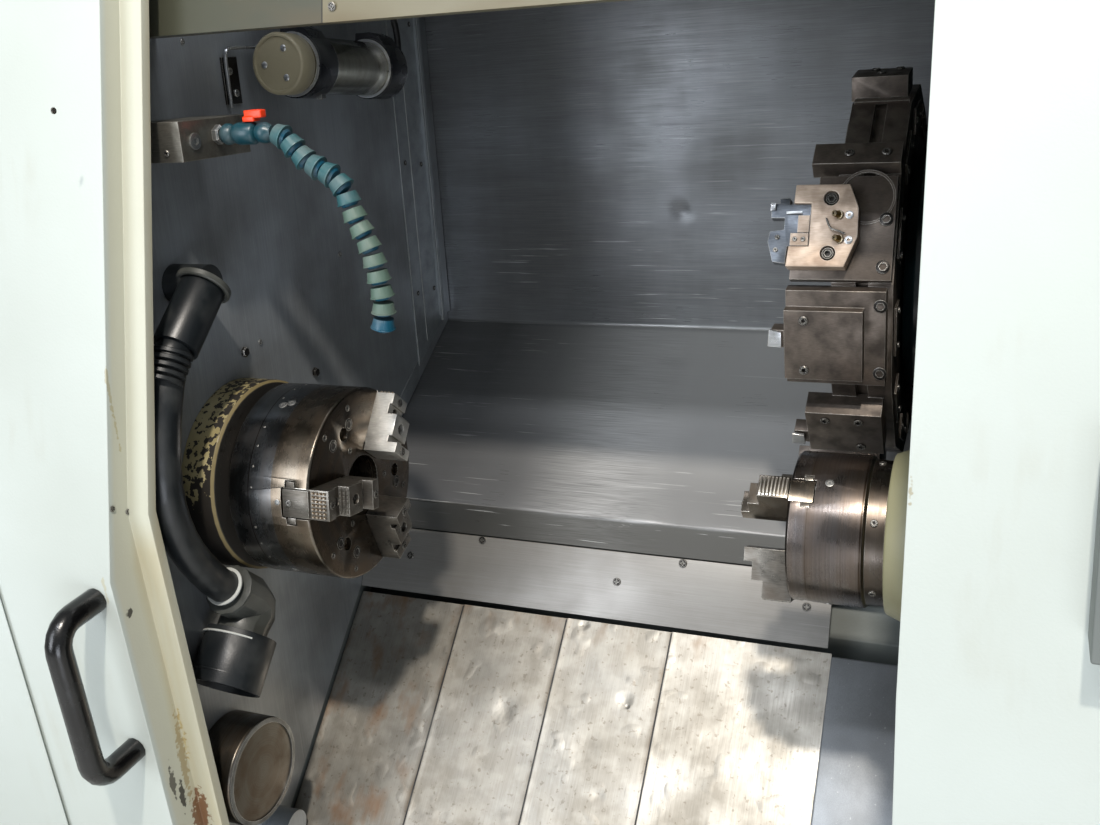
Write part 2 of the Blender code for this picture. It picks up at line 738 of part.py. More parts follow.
def operator_controls():
    """Key panel, screen, emergency stop and feed dial."""
    keys = panel_outline(KEY_PANEL_LOW_Z, KEY_PANEL_HIGH_Z, KEY_PANEL_THICK)
    plate_of_keys = beam("key_panel", [keys], KEY_PANEL_X, KEY_PANEL_X + KEY_PANEL_LONG, CASTING)
    knob_z = (KEY_PANEL_LOW_Z + KEY_PANEL_HIGH_Z) / 2
    face = front_y(knob_z) - KEY_PANEL_THICK
    stop_seat = at(KEY_PANEL_X + KEY_PANEL_LONG - 0.05, face, knob_z)
    socket = rod("stem_socket", (0, 0, 0), (0.04, 0, 0), STOP_STEM_R + 0.0006, CASTING, 24)
    turn = (math.radians(90) - LEAN, 0, 0)
    socket.rotation_euler = turn
    socket.location = stop_seat
    cut(plate_of_keys, socket)
    screen = panel_outline(SCREEN_LOW_Z, SCREEN_HIGH_Z, SCREEN_THICK)
    piece = beam("screen_panel", [screen], SCREEN_X, SCREEN_X + SCREEN_LONG, CASTING)
    middle_z = (SCREEN_LOW_Z + SCREEN_HIGH_Z) / 2 + 0.04
    y = front_y(middle_z) - SCREEN_THICK
    recess = block("screen_recess", (SCREEN_X + 0.06, y - 0.03, middle_z - 0.11),
                   (SCREEN_X + SCREEN_LONG - 0.06, y + 0.004, middle_z + 0.11), CASTING,
                   (-LEAN, 0, 0))
    cut(piece, recess)
    stop_profile = [(0, STOP_RISE), (STOP_R * 0.8, STOP_RISE), (STOP_R, STOP_RISE - 0.004),
                    (STOP_R, STOP_RISE - 0.011), (STOP_STEM_R, STOP_STROKE + GAP * 2),
                    (STOP_STEM_R, -0.012), (0, -0.012)]
    smooth(turned("emergency_stop", stop_profile, stop_seat, turn, RED, 24))
    dial_profile = [(0, DIAL_RISE), (DIAL_R * 0.85, DIAL_RISE), (DIAL_R, DIAL_RISE - 0.003),
                    (DIAL_R, GAP), (0, GAP)]
    dial_seat = at(KEY_PANEL_X + KEY_PANEL_LONG - 0.14, face, knob_z)
    smooth(turned("feed_dial", dial_profile, dial_seat, turn, BLACK, 24))


# Chamber sheets

def left_wall_outline():
    """The left wall's edge: front lean, shield's inner side, then the floor covers."""
    clear = 0.002
    high = TOP - PANEL - FIT
    behind_door = DOOR_RETURN_LOW + DOOR_LIP_RETURN + 0.006
    knee = floor_point(COVER_LONG, clear)
    shield_top = rear_point(0, SHIELD_LIFT + clear)
    slope = math.tan(REAR_SLOPE)
    corner_y = BACK_Y - clear
    corner_z = shield_top[1] + (corner_y - shield_top[0]) * slope
    lip_y = SHIELD_FRONT_Y - clear
    lip_z = shield_top[1] + (lip_y - shield_top[0]) * slope
    flange_low = lip_z - SHIELD_FLANGE - 0.004
    low = DOOR_BOTTOM - 0.05
    return [(front_y(low) + behind_door, low), (FRONT + behind_door, CREASE_Z),
            (front_y(high) + HEADER_BACK - 0.002, high), (corner_y, high),
            (corner_y, corner_z), (lip_y, lip_z), (lip_y, flange_low),
            floor_point(-0.004, clear + 0.002), knee, (knee[0], low)]


def chamber_walls():
    """The left wall with the spindle hole, and the plain right wall."""
    outline = left_wall_outline()
    hole = ring_points(NOSE_RING_R + FIT, 48)
    wall = beam("chamber_wall_left", [outline, hole], WALL_X - PANEL, WALL_X, SHEET_STEEL)
    wiper_y = BACK_Y - 0.0025
    wiper = block("corner_strip", (WALL_X - 0.001, wiper_y - 0.035, 0.085),
                  (WALL_X + 0.006, wiper_y, BACK_TOP_Z - 0.09), SHEET_STEEL)
    join(wall, wiper)
    boss = rod("drain_boss", (WALL_X - 0.001, DRAIN_Y, DRAIN_Z), (WALL_X + 0.035, DRAIN_Y, DRAIN_Z),
               DRAIN_R, SHEET_STEEL, 24)
    join(wall, boss)
    low = DOOR_BOTTOM - 0.05
    high = TOP - PANEL - FIT
    behind_door = DOOR_RETURN_LOW + DOOR_LIP_RETURN + 0.006
    crest = rear_point(0.45, WAY_HIGH + 0.004)
    right = [(front_y(low) + behind_door, low), (FRONT + behind_door, CREASE_Z),
             (front_y(high) + HEADER_BACK, high), (BACK_Y + 0.03, high),
             crest, rear_point(0.02, WAY_HIGH + 0.004), floor_point(-0.02, -0.05),
             floor_point(COVER_LONG - 0.02, -0.05), (-0.11, low)]
    beam("chamber_wall_right", [right], WALL_RIGHT_X, WALL_RIGHT_X + PANEL, SHEET_STEEL)


def carriage_shield():
    """The folded sheet that travels with the turret: back wall, slanted cover and lip."""
    slope = math.tan(REAR_SLOPE)
    base = rear_point(0, SHIELD_LIFT)

    def slant_z(y):
        return base[1] + (y - base[0]) * slope

    t = SHIELD_THICK
    drop = t / math.cos(REAR_SLOPE)
    lip = SHIELD_FRONT_Y
    front = [(BACK_Y, BACK_TOP_Z), (BACK_Y, slant_z(BACK_Y)), (lip, slant_z(lip)),
             (lip, slant_z(lip) - SHIELD_FLANGE)]
    back = [(lip + t, slant_z(lip) - SHIELD_FLANGE), (lip + t, slant_z(lip + t) - drop),
            (BACK_Y + t, slant_z(BACK_Y + t) - drop), (BACK_Y + t, BACK_TOP_Z)]
    return beam("carriage_shield", [front + back], SHIELD_LEFT, SHIELD_RIGHT, SHEET_STEEL)


def chip_strip():
    """The fixed strip between the travelling lip and the chamber floor."""
    base = rear_point(0, SHIELD_LIFT)
    top_z = base[1] + (SHIELD_FRONT_Y - base[0]) * math.tan(REAR_SLOPE) - SHIELD_FLANGE - 0.003
    foot = floor_point(-0.002, 0.003)
    t = SHEET
    outline = [(SHIELD_FRONT_Y, top_z), foot, (foot[0] + t, foot[1]),
               (SHIELD_FRONT_Y + t, top_z)]
    return beam("chip_strip", [outline], WALL_X + FIT, STRIP_RIGHT, SHEET_STEEL)


def way_covers():
    """Four telescopic floor plates, each sliding under the next one to its right."""
    for i in range(4):
        left = COVER_SEAMS[i]
        right = COVER_SEAMS[i + 1]
        if i < 3:
            right += COVER_LAP
        else:
            right = SADDLE_LEFT - GAP
        under = (3 - i) * (SHEET + FIT)
        outline = [floor_point(0.004, -under), floor_point(COVER_LONG, -under),
                   floor_point(COVER_LONG, -under - SHEET), floor_point(0.004, -under - SHEET)]
        beam("way_cover_%d" % (i + 1), [outline], left, right, SHEET_STEEL)


# Main spindle

def headstock():
    """The cast spindle head on the bed, bored for the spindle."""
    foot_low = floor_point(0.44, -SADDLE_THICK + WAY_HIGH + GAP)
    foot_high = floor_point(0.02, -SADDLE_THICK + WAY_HIGH + GAP)
    h = HEAD_HALF
    outline = [(-h, h - 0.05), (-h + 0.05, h), (h - 0.05, h), (h, h - 0.05),
               foot_high, foot_low, (-h, -h - 0.1)]
    bore = ring_points(SPINDLE_R + GAP, 40)
    piece = beam("headstock", [outline, bore], HEAD_LEFT, WALL_X - PANEL - FIT, CASTING)
    return piece


def nose_ring():
    """The painted seal ring round the spindle nose."""
    front = NOSE_RING_FRONT - WALL_X
    back = -PANEL
    inner = SPINDLE_R + 0.004
    outer = NOSE_RING_R
    profile = [(outer - 0.004, front), (outer, front - 0.004), (outer, back), (inner, back),
               (inner, front)]
    return smooth(turned_on_x("nose_ring", profile, WALL_X, 0, 0, CREAM, 40))


def main_spindle():
    """The hollow spindle with its nose flange, belt pulley and rear chuck cylinder."""
    r = SPINDLE_R
    front = -CHUCK_LONG - GAP
    pulley_right = PULLEY_LEFT + PULLEY_WIDE
    cylinder_right = PULLEY_LEFT - 0.02
    profile = [(CHUCK_BORE, front), (NOSE_R, front), (NOSE_R, NOSE_RING_FRONT + GAP * 5),
               (r, NOSE_RING_FRONT + GAP * 5), (r, pulley_right), (PULLEY_R, pulley_right),
               (PULLEY_R, PULLEY_LEFT), (r - 0.02, PULLEY_LEFT), (r - 0.02, cylinder_right),
               (0.100, cylinder_right), (0.100, SPINDLE_REAR + 0.02), (0.080, SPINDLE_REAR),
               (CHUCK_BORE, SPINDLE_REAR)]
    return smooth(turned_on_x("main_spindle", profile, 0, 0, 0, BRIGHT_STEEL, 32))


def jaw(name, outline, angle, face_x, wide, holes, material):
    """A jaw: its radius-by-length outline given a width, with two screw recesses."""
    # local x is along the spindle, local y is radially outward, local z is across
    phi = math.radians(angle)
    outward = Vector((0, -math.cos(phi), math.sin(phi)))
    along = Vector((1, 0, 0))
    across = along.cross(outward)
    frame = Matrix((along, outward, across)).transposed()
    curve_turn = frame.to_euler()
    piece = plate(name, [outline], wide, at(face_x, 0, 0), curve_turn, material)
    for reach, height, radius in holes:
        seat = at(face_x, 0, 0) + outward * reach + along * height
        recess = rod("recess", (0, 0, 0), (0.02, 0, 0), radius, material, 12)
        recess.location = seat + along * 0.01
        cut(piece, recess)
    return piece


def chuck_body(name, radius, length, bore, face_x, jaw_angle, jaw_wide, tail, material, steps):
    """A power chuck body: turned, bored, with three T slots and screw recesses."""
    edge = 0.0025
    profile = [(bore, 0), (radius - edge, 0), (radius, -edge), (radius, -length + edge),
               (radius - edge, -length)] + tail
    sign = 1 if face_x < SUB_FACE else -1
    if sign < 0:
        profile = [(r, -h) for r, h in reversed(profile)]
    piece = turned_on_x(name, profile, face_x, 0, 0, material, steps)
    slot_deep = length * 0.33
    for k in range(3):
        phi = math.radians(jaw_angle + 120 * k)
        outward = Vector((0, -math.cos(phi), math.sin(phi)))
        narrow = slot_block(face_x, sign, outward, radius, bore, jaw_wide + 2 * GAP, 0, slot_deep)
        cut(piece, narrow)
        wide = slot_block(face_x, sign, outward, radius, bore, jaw_wide * 1.5,
                          slot_deep * 0.5, slot_deep * 0.86)
        cut(piece, wide)
        phi += math.radians(60)
        side = Vector((0, -math.cos(phi), math.sin(phi)))
        seat = at(face_x, 0, 0) + side * radius * 0.66
        recess = rod("recess", (0, 0, 0), (0.016, 0, 0), radius * 0.07, material, 16)
        recess.location = seat
        cut(piece, recess)
    return smooth(piece)


def slot_block(face_x, sign, outward, radius, bore, wide, near, far):
    """A radial cutter for one chuck slot, from near to far behind the face."""
    along = Vector((1, 0, 0))
    start = bore + 0.006 + near * 0.2
    end = radius + 0.01 + near * 0.2
    mesh = bpy.data.meshes.new("slot")
    body = bmesh.new()
    bmesh.ops.create_cube(body, size=1.0)
    top = 0.01 if near == 0 else -near
    size = Vector((far + top if near == 0 else far - near, end - start, wide))
    bmesh.ops.scale(body, vec=size, verts=body.verts)
    body.to_mesh(mesh)
    body.free()
    middle = (top - far) / 2
    centre = at(face_x, 0, 0) + along * sign * middle + outward * (start + end) / 2
    frame = Matrix((along, outward, along.cross(outward))).transposed()
    return add("slot", mesh, centre, BRIGHT_STEEL, frame.to_euler())


def main_chuck_and_jaws():
    """The ten-inch main chuck and its three stepped jaws."""
    chuck_body("main_chuck", CHUCK_R, CHUCK_LONG, CHUCK_BORE, 0.0, JAW_ANGLE, JAW_WIDE,
               [(CHUCK_BORE, -CHUCK_LONG)], BRIGHT_STEEL, 64)
    deep = CHUCK_LONG * 0.33 - GAP - 0.001
    inner = CHUCK_BORE + 0.006 + JAW_STROKE + 0.003
    outline = [(-deep, inner), (0.0005, inner), (0.0005, 0.040), (0.048, 0.040),
               (0.048, 0.054), (0.033, 0.054), (0.033, 0.063), (0.038, 0.063),
               (0.038, 0.093), (0.023, 0.093), (0.023, 0.107), (0.027, 0.107),
               (0.027, 0.122), (-deep, 0.122)]
    for k in range(3):
        jaw("main_jaw_%d" % (k + 1), outline, JAW_ANGLE + 120 * k, 0.0, JAW_WIDE,
            ((0.078, 0.028, 0.007), (0.100, 0.014, 0.006)), BRIGHT_STEEL)


def sub_chuck_and_jaws():
    """The six-inch sub chuck, facing the main one, with its jaws and short spindle."""
    ring = SUB_R - 0.004
    tail = [(ring, -SUB_LONG), (ring, SUB_FACE - SUB_HEAD_LEFT + GAP),
            (0.050, SUB_FACE - SUB_HEAD_LEFT + GAP), (0.050, -0.260), (SUB_BORE, -0.260)]
    chuck_body("sub_chuck", SUB_R, SUB_LONG, SUB_BORE, SUB_FACE, SUB_JAW_ANGLE, SUB_JAW_WIDE,
               tail, BRIGHT_STEEL, 48)
    deep = SUB_LONG * 0.33 - GAP - 0.001
    inner = SUB_BORE + 0.006 + 0.003 + 0.003
    outline = [(deep, inner), (-0.0005, inner), (-0.0005, 0.030), (-0.057, 0.030),
               (-0.057, 0.046), (-0.047, 0.046), (-0.047, 0.067), (-0.034, 0.067),
               (-0.034, 0.087), (-0.0005, 0.087), (-0.0005, 0.0812), (deep, 0.0812)]
    for k in range(3):
        jaw("sub_jaw_%d" % (k + 1), outline, SUB_JAW_ANGLE + 120 * k, SUB_FACE, SUB_JAW_WIDE,
            ((0.056, -0.049, 0.005), (0.077, -0.036, 0.005)), BRIGHT_STEEL)


def drive():
    """The spindle motor, its pulley and the belt to the spindle."""
    motor_left = BASE_LEFT + 0.01
    motor_right = PULLEY_LEFT - 0.012
    outline = []
    steps = 20
    for i in range(steps + 1):
        a = math.radians(-20) + math.radians(220) * i / steps
        outline.append((MOTOR_Y + MOTOR_R * math.cos(a), MOTOR_Z + MOTOR_R * math.sin(a)))
    outline += [(MOTOR_Y - MOTOR_R, BASE_STEP_Z + GAP), (MOTOR_Y + MOTOR_R, BASE_STEP_Z + GAP)]
    beam("spindle_motor", [outline], motor_left, motor_right, CASTING)
    r = MOTOR_PULLEY_R
    right = PULLEY_LEFT + PULLEY_WIDE - motor_right
    profile = [(0, right), (r, right), (r, 0.012), (0.025, 0.012), (0.025, GAP), (0, GAP)]
    smooth(turned_on_x("motor_pulley", profile, motor_right, MOTOR_Y, MOTOR_Z, DARK_STEEL, 32))
    outer = belt_loop(BELT_THICK + GAP)
    inner = belt_loop(GAP)
    beam("drive_belt", [outer, inner], PULLEY_LEFT + 0.01, PULLEY_LEFT + PULLEY_WIDE - 0.01,
         RUBBER)


def belt_loop(lift):
    """The closed path round both pulleys, lifted off them."""
    gap = math.hypot(MOTOR_Y, MOTOR_Z)
    heading = math.atan2(MOTOR_Z, MOTOR_Y)
    lean = math.acos((PULLEY_R - MOTOR_PULLEY_R) / gap)
    big = (PULLEY_R + lift) / math.cos((math.pi - lean) / 20)
    small = (MOTOR_PULLEY_R + lift) / math.cos(lean / 12)
    points = []
    for i in range(21):
        a = heading + lean + (2 * math.pi - 2 * lean) * i / 20
        points.append((big * math.cos(a), big * math.sin(a)))
    for i in range(13):
        a = heading - lean + 2 * lean * i / 12
        points.append((MOTOR_Y + small * math.cos(a), MOTOR_Z + small * math.sin(a)))
    return points


# Sub spindle head and saddle

def sub_saddle():
    """The saddle on the bed's front slope that carries the sub spindle head."""
    under = -SADDLE_THICK + WAY_HIGH + GAP
    outline = [floor_point(SADDLE_NEAR, SADDLE_PROUD), floor_point(SADDLE_FAR, SADDLE_PROUD),
               floor_point(SADDLE_FAR, under), floor_point(SADDLE_NEAR, under)]
    return soften(beam("sub_saddle", [outline], SADDLE_LEFT, SADDLE_RIGHT, TEAL), 0.003)


def sub_headstock():
    """The sub spindle head: a round housing on a wedge that stands on the saddle."""
    r = SUB_HEAD_R
    left = SUB_HEAD_LEFT
    length = SUB_HEAD_RIGHT - left
    bore = 0.050 + GAP
    profile = [(r - 0.006, length), (r, length - 0.006), (r, 0.030), (r - 0.012, 0.0),
               (bore, 0.0), (bore, 0.30), (0.02, 0.30), (0.02, length)]
    piece = turned_on_x("sub_headstock", list(profile), left, 0, 0, CREAM, 40)
    high = floor_point(SUB_FOOT_NEAR, SADDLE_PROUD + GAP)
    low = floor_point(SUB_FOOT_FAR, SADDLE_PROUD + GAP)
    outline = [(-r * 0.79, -r * 0.60), (r * 0.79, -r * 0.60), high, low]
    foot = beam("sub_foot", [outline], left + 0.05, SUB_HEAD_RIGHT - 0.02, CREAM)
    return smooth(join(piece, foot))


# Turret

TURRET_Y = TURRET_REACH * math.cos(TURRET_SLOPE)
TURRET_Z = TURRET_REACH * math.sin(TURRET_SLOPE)
STATION = 360.0 / TURRET_SIDES


def carriage():
    """The carriage on the bed's rear slope, with the upright that backs the shield."""
    top = SHIELD_LIFT - SHIELD_THICK - FIT
    low = WAY_HIGH + GAP
    back = BACK_Y + SHIELD_THICK + FIT
    upright = UPRIGHT_THICK
    slope = math.tan(REAR_SLOPE)
    base = rear_point(0, top)
    knee = (back, base[1] + (back - base[0]) * slope)
    outline = [rear_point(CARRIAGE_NEAR, low), rear_point(CARRIAGE_FAR, low),
               rear_point(CARRIAGE_FAR, top),
               (back + upright, base[1] + (back + upright - base[0]) * slope),
               (back + upright, BACK_TOP_Z - 0.05), (back, BACK_TOP_Z - 0.05), knee,
               rear_point(CARRIAGE_NEAR, top)]
    return beam("carriage", [outline], CARRIAGE_LEFT, CARRIAGE_RIGHT, TEAL)


def turret_slide():
    """The cross slide and turret housing, with the indexing motor at its end."""
    left = TURRET_LEFT + TURRET_WIDE + GAP * 10
    r = HOUSING_R
    long = HOUSING_LONG
    motor_r = INDEX_MOTOR_R
    end = long + INDEX_MOTOR_LONG
    hub_bore = TURRET_HUB_R + GAP
    profile = [(0, end), (motor_r, end), (motor_r, long), (r - 0.01, long),
               (r, long - 0.01), (r, 0.012), (r - 0.012, 0.0), (hub_bore, 0.0),
               (hub_bore, 0.06), (0, 0.06)]
    piece = turned_on_x("turret_slide", profile, left, TURRET_Y, TURRET_Z, TEAL, 40)
    lift = SHIELD_LIFT - SHIELD_THICK - FIT + GAP
    knee = lift + SLIDE_THICK
    outline = [rear_point(SLIDE_NEAR, lift), rear_point(SLIDE_FAR, lift),
               rear_point(SLIDE_FAR, knee), rear_point(SLIDE_FAR - 0.02, SLIDE_HIGH),
               rear_point(SLIDE_NEAR + 0.05, SLIDE_HIGH), rear_point(SLIDE_NEAR, knee)]
    foot = beam("slide_foot", [outline], left + 0.035, left + 0.36, TEAL)
    return smooth(join(piece, foot))


def station_frame(index):
    """Outward and tangent directions of a turret station, in the YZ plane."""
    theta = math.radians(TURRET_TURN - index * STATION)
    outward = Vector((0, -math.cos(theta), math.sin(theta)))
    tangent = Vector((0, math.sin(theta), math.cos(theta)))
    return outward, tangent


def station_block(name, index, x_range, t_range, r_range, material):
    """A block on a turret station: along X, along the flat, and out from the axis."""
    outward, tangent = station_frame(index)
    along = Vector((1, 0, 0))
    mesh = bpy.data.meshes.new(name)
    body = bmesh.new()
    bmesh.ops.create_cube(body, size=1.0)
    size = Vector((x_range[1] - x_range[0], t_range[1] - t_range[0], r_range[1] - r_range[0]))
    bmesh.ops.scale(body, vec=size, verts=body.verts)
    body.to_mesh(mesh)
    body.free()
    centre = at(sum(x_range) / 2, TURRET_Y, TURRET_Z)
    centre += tangent * sum(t_range) / 2 + outward * sum(r_range) / 2
    frame = Matrix((along, tangent, outward)).transposed()
    return add(name, mesh, centre, material, frame.to_euler())


def turret_disc():
    """The twelve-sided turret disc with keyed stations and the plain tool holders."""
    corner = TURRET_APOTHEM / math.cos(math.pi / TURRET_SIDES)
    start = math.radians(180 - TURRET_TURN + STATION / 2)
    outline = ring_points(corner, TURRET_SIDES, (0, 0), start)
    piece = plate("turret_disc", [outline], TURRET_WIDE,
                  at(TURRET_LEFT + TURRET_WIDE / 2, TURRET_Y, TURRET_Z), ALONG_X, DARK_STEEL)
    hub = rod("hub", (TURRET_LEFT - 0.012, TURRET_Y, TURRET_Z),
              (TURRET_LEFT + TURRET_WIDE + 0.055, TURRET_Y, TURRET_Z), TURRET_HUB_R,
              DARK_STEEL, 32)
    join(piece, hub)
    x0 = TURRET_LEFT
    x1 = TURRET_LEFT + TURRET_WIDE
    a = TURRET_APOTHEM
    groove_at = at(TURRET_LEFT + TURRET_WIDE / 2, TURRET_Y, TURRET_Z)
    depth = 0.008
    groove = plate("groove", [ring_points(corner + 0.01, TURRET_SIDES, (0, 0), start),
                              ring_points(corner - depth, TURRET_SIDES, (0, 0), start)],
                   0.014, groove_at, ALONG_X, DARK_STEEL)
    cut(piece, groove)
    holders = ((-2, (x0 - 0.006, x1 - 0.008), (-0.024, 0.036), 0.026),
               (-1, (x0 - 0.030, x1), (-0.060, -0.026), 0.018),
               (0, (x0 - 0.020, x1 - 0.002), (0.020, 0.061), 0.010),
               (0, (x0 - 0.047, x1 - 0.002), (-0.061, 0.022), 0.010),
               (1, (x0 - 0.050, x1 - 0.006), (-0.056, 0.060), 0.016),
               (1, (x0 - 0.050, x1 - 0.030), (-0.046, 0.040), 0.030),
               (2, (x0 - 0.030, x1 - 0.010), (-0.040, 0.040), 0.028),
               (3, (x0 - 0.040, x1 - 0.020), (-0.045, 0.045), 0.030))
    for index, xs, ts, high in holders:
        holder = station_block("holder", index, xs, ts, (a - 0.004, a + high), DARK_STEEL)
        join(piece, holder)
    shanks = ((1, (x0 - 0.066, x0 - 0.030), (-0.008, 0.014), (a + 0.004, a + 0.026)),
              (2, (x0 - 0.048, x0 - 0.010), (-0.030, -0.006), (a + 0.006, a + 0.024)),
              (3, (x0 - 0.058, x0 - 0.020), (-0.012, 0.016), (a + 0.004, a + 0.026)))
    for index, xs, ts, rs in shanks:
        join(piece, station_block("shank", index, xs, ts, rs, DARK_STEEL))
    return piece


BLOCK_X = 0.541
BLOCK_WIDE = 0.076
BLOCK_SEAT = 0.010           # the block stands on the station's base plate
BLOCK_RISE = 0.020
BLOCK_HIGH = 0.046
BLOCK_LOW = 0.050
NOTCH_LOW = -0.026
NOTCH_HIGH = 0.024
NOTCH_DEEP = 0.022


def tool_block():
    """The tan tool block on the station that faces the operator."""
    outward, tangent = station_frame(0)
    w = BLOCK_WIDE
    outline = [(0.003, BLOCK_HIGH), (w - 0.012, BLOCK_HIGH), (w - 0.001, 0.019), (w, -0.015),
               (w - 0.013, -BLOCK_LOW), (-0.003, -BLOCK_LOW), (-0.001, NOTCH_LOW),
               (NOTCH_DEEP, NOTCH_LOW), (NOTCH_DEEP, NOTCH_HIGH), (0.002, NOTCH_HIGH)]
    low = TURRET_APOTHEM + BLOCK_SEAT + GAP
    centre = at(BLOCK_X, TURRET_Y, TURRET_Z) + outward * (low + BLOCK_RISE / 2)
    frame = Matrix((Vector((1, 0, 0)), tangent, outward)).transposed()
    piece = plate("tool_block", [outline], BLOCK_RISE, centre, frame.to_euler(), TAN_STEEL)
    for x, t in ((0.044, 0.030), (0.044, -0.034)):
        seat = at(BLOCK_X + x, TURRET_Y, TURRET_Z) + tangent * t
        seat += outward * (low + BLOCK_RISE)
        recess = rod("recess", (0, 0, 0), (0.02, 0, 0), 0.0085, TAN_STEEL, 20)
        recess.rotation_euler = outward.to_track_quat("Z", "Y").to_euler()
        recess.location = seat
        cut(piece, recess)
    return piece


def cutting_tool():
    """The square-shank tool clamped in the block's notch, with its stepped head."""
    outward, tangent = station_frame(0)
    right = NOTCH_DEEP - GAP
    top = NOTCH_HIGH - GAP
    bottom = NOTCH_LOW + GAP
    outline = [(right, top), (-0.003, top), (-0.003, top + 0.007), (-0.015, top + 0.007),
               (-0.015, top + 0.001), (-0.024, top + 0.001), (-0.024, top - 0.016),
               (-0.008, top - 0.016), (-0.008, -0.006), (-0.024, -0.008), (-0.026, -0.020),
               (-0.019, -0.044), (-0.004, -0.046), (-0.003, bottom), (right, bottom)]
    low = TURRET_APOTHEM + BLOCK_SEAT + 0.002
    thick = 0.015
    centre = at(BLOCK_X, TURRET_Y, TURRET_Z) + outward * (low + thick / 2)
    frame = Matrix((Vector((1, 0, 0)), tangent, outward)).transposed()
    return plate("cutting_tool", [outline], thick, centre, frame.to_euler(), CARBIDE_GREY)


# Lamp

LAMP_DIRECTION = Vector((0, math.cos(LAMP_DROP), -math.sin(LAMP_DROP)))
LAMP_TURN = (math.radians(-90) - LAMP_DROP, 0, 0)


def lamp_point(distance):
    """A world point along the lamp's axis from its front end."""
    return at(LAMP_X, LAMP_FRONT_Y, LAMP_Z) + LAMP_DIRECTION * distance


def lamp():
    """The tube lamp on the left wall: glass tube, end cap, two clamps and its cable."""
    r = LAMP_R
    cap_long = LAMP_CAP_LONG
    cap = [(r - 0.003, cap_long - GAP), (r, cap_long - 0.004), (r, 0.003), (r - 0.003, 0.0),
           (0, 0.0)]
    cap = [(0, cap_long - GAP)] + cap
    smooth(turned("lamp_cap", cap, lamp_point(0), LAMP_TURN, KHAKI, 32))
    body = [(0, LAMP_LONG), (r - 0.004, LAMP_LONG), (r - 0.001, LAMP_LONG - 0.003),
            (r - 0.001, cap_long), (0, cap_long)]
    smooth(turned("lamp_tube", body, lamp_point(0), LAMP_TURN, CLEAR, 32))
    for name, near, wide in (("lamp_clamp_front", LAMP_CAP_LONG + 0.004, 0.042),
                             ("lamp_clamp_rear", LAMP_LONG - 0.058, 0.046)):
        band = [(r + 0.004, near + wide), (r + 0.004, near), (r - 0.001 + GAP, near),
                (r - 0.001 + GAP, near + wide)]
        piece = turned(name, band, lamp_point(0), LAMP_TURN, BLACK, 32)
        middle = lamp_point(near + wide / 2)
        foot = block("clamp_foot", (WALL_X + GAP, 0, -0.012), (LAMP_X - r + 0.001, wide * 0.8, 0.012),
                     BLACK)
        foot.location.y = middle.y
        foot.location.z = middle.z
        join(piece, foot)
        smooth(piece)
    start = lamp_point(LAMP_LONG + GAP)
    high = HEADER_LOW_Z + 0.16
    route = [start, start + Vector((0, 0.022, 0.000)), start + Vector((0, 0.040, 0.018)),
             start + Vector((-0.004, 0.048, 0.060)), start + Vector((-0.020, 0.056, 0.110)),
             at(WALL_X + 0.012, LAMP_FRONT_Y + LAMP_LONG + 0.070, high)]
    pipe("lamp_cable", smooth_route(route, 18), 0.005, RUBBER, sides=2)


# Coolant block, valve and jointed hose

def coolant_line():
    """The coolant block with its ball valve, lever and jointed hose."""
    high_z = BLOCK_LOW_Z + BLOCK_HIGH
    piece = block("coolant_block", (WALL_X + GAP, BLOCK_FRONT_Y, BLOCK_LOW_Z),
                  (BLOCK_FACE_X, BLOCK_FRONT_Y + BLOCK_LONG, high_z), BRIGHT_STEEL)
    plug = rod("plug_recess", (BLOCK_FACE_X - 0.006, BLOCK_FRONT_Y + 0.024, BLOCK_LOW_Z + 0.022),
               (BLOCK_FACE_X + 0.01, BLOCK_FRONT_Y + 0.024, BLOCK_LOW_Z + 0.022), 0.008,
               BRIGHT_STEEL, 6)
    cut(piece, plug)
    r = VALVE_R
    long = VALVE_LONG
    profile = [(0, long), (r * 0.75, long), (r, long - 0.008), (r * 0.8, long - 0.020),
               (r * 1.05, long - 0.024), (r * 1.05, 0.032), (r * 0.8, 0.028), (r, 0.018),
               (r * 0.75, 0.010), (r * 0.9, 0.008), (r * 0.9, GAP), (0, GAP)]
    smooth(turned_on_x("coolant_valve", profile, BLOCK_FACE_X, VALVE_Y, VALVE_Z, BLUE, 24))
    top = VALVE_Z + r * 1.05 + GAP
    lever = block("valve_lever", (LEVER_X - 0.008, VALVE_Y - 0.007, top),
                  (LEVER_X + 0.008, VALVE_Y + 0.007, top + 0.006), ORANGE)
    blade = block("lever_blade", (LEVER_X - 0.006, VALVE_Y - 0.0055, top + 0.004),
                  (LEVER_X + 0.018, VALVE_Y + 0.0055, top + 0.013), ORANGE)
    join(lever, blade)
    start = Vector((BLOCK_FACE_X + VALVE_LONG + GAP, 0, VALVE_Z))
    lead = at(start.x, VALVE_Y, start.z)
    guide = [at(start.x + HOSE_LEAD, VALVE_Y, start.z)]
    guide += [at(x, VALVE_Y, z) for x, z in HOSE_ROUTE]
    steps = 4
    route = [lead] + smooth_route(guide, HOSE_SEGMENTS * steps)
    beads = (0.68, 1.0, 1.12, 0.86)
    radii = [beads[i % steps] for i in range(len(route))]
    radii[-1] = 0.5
    smooth(pipe("coolant_hose", route, HOSE_R, BLUE, radii=radii, sides=2))


# Suction duct and round cover

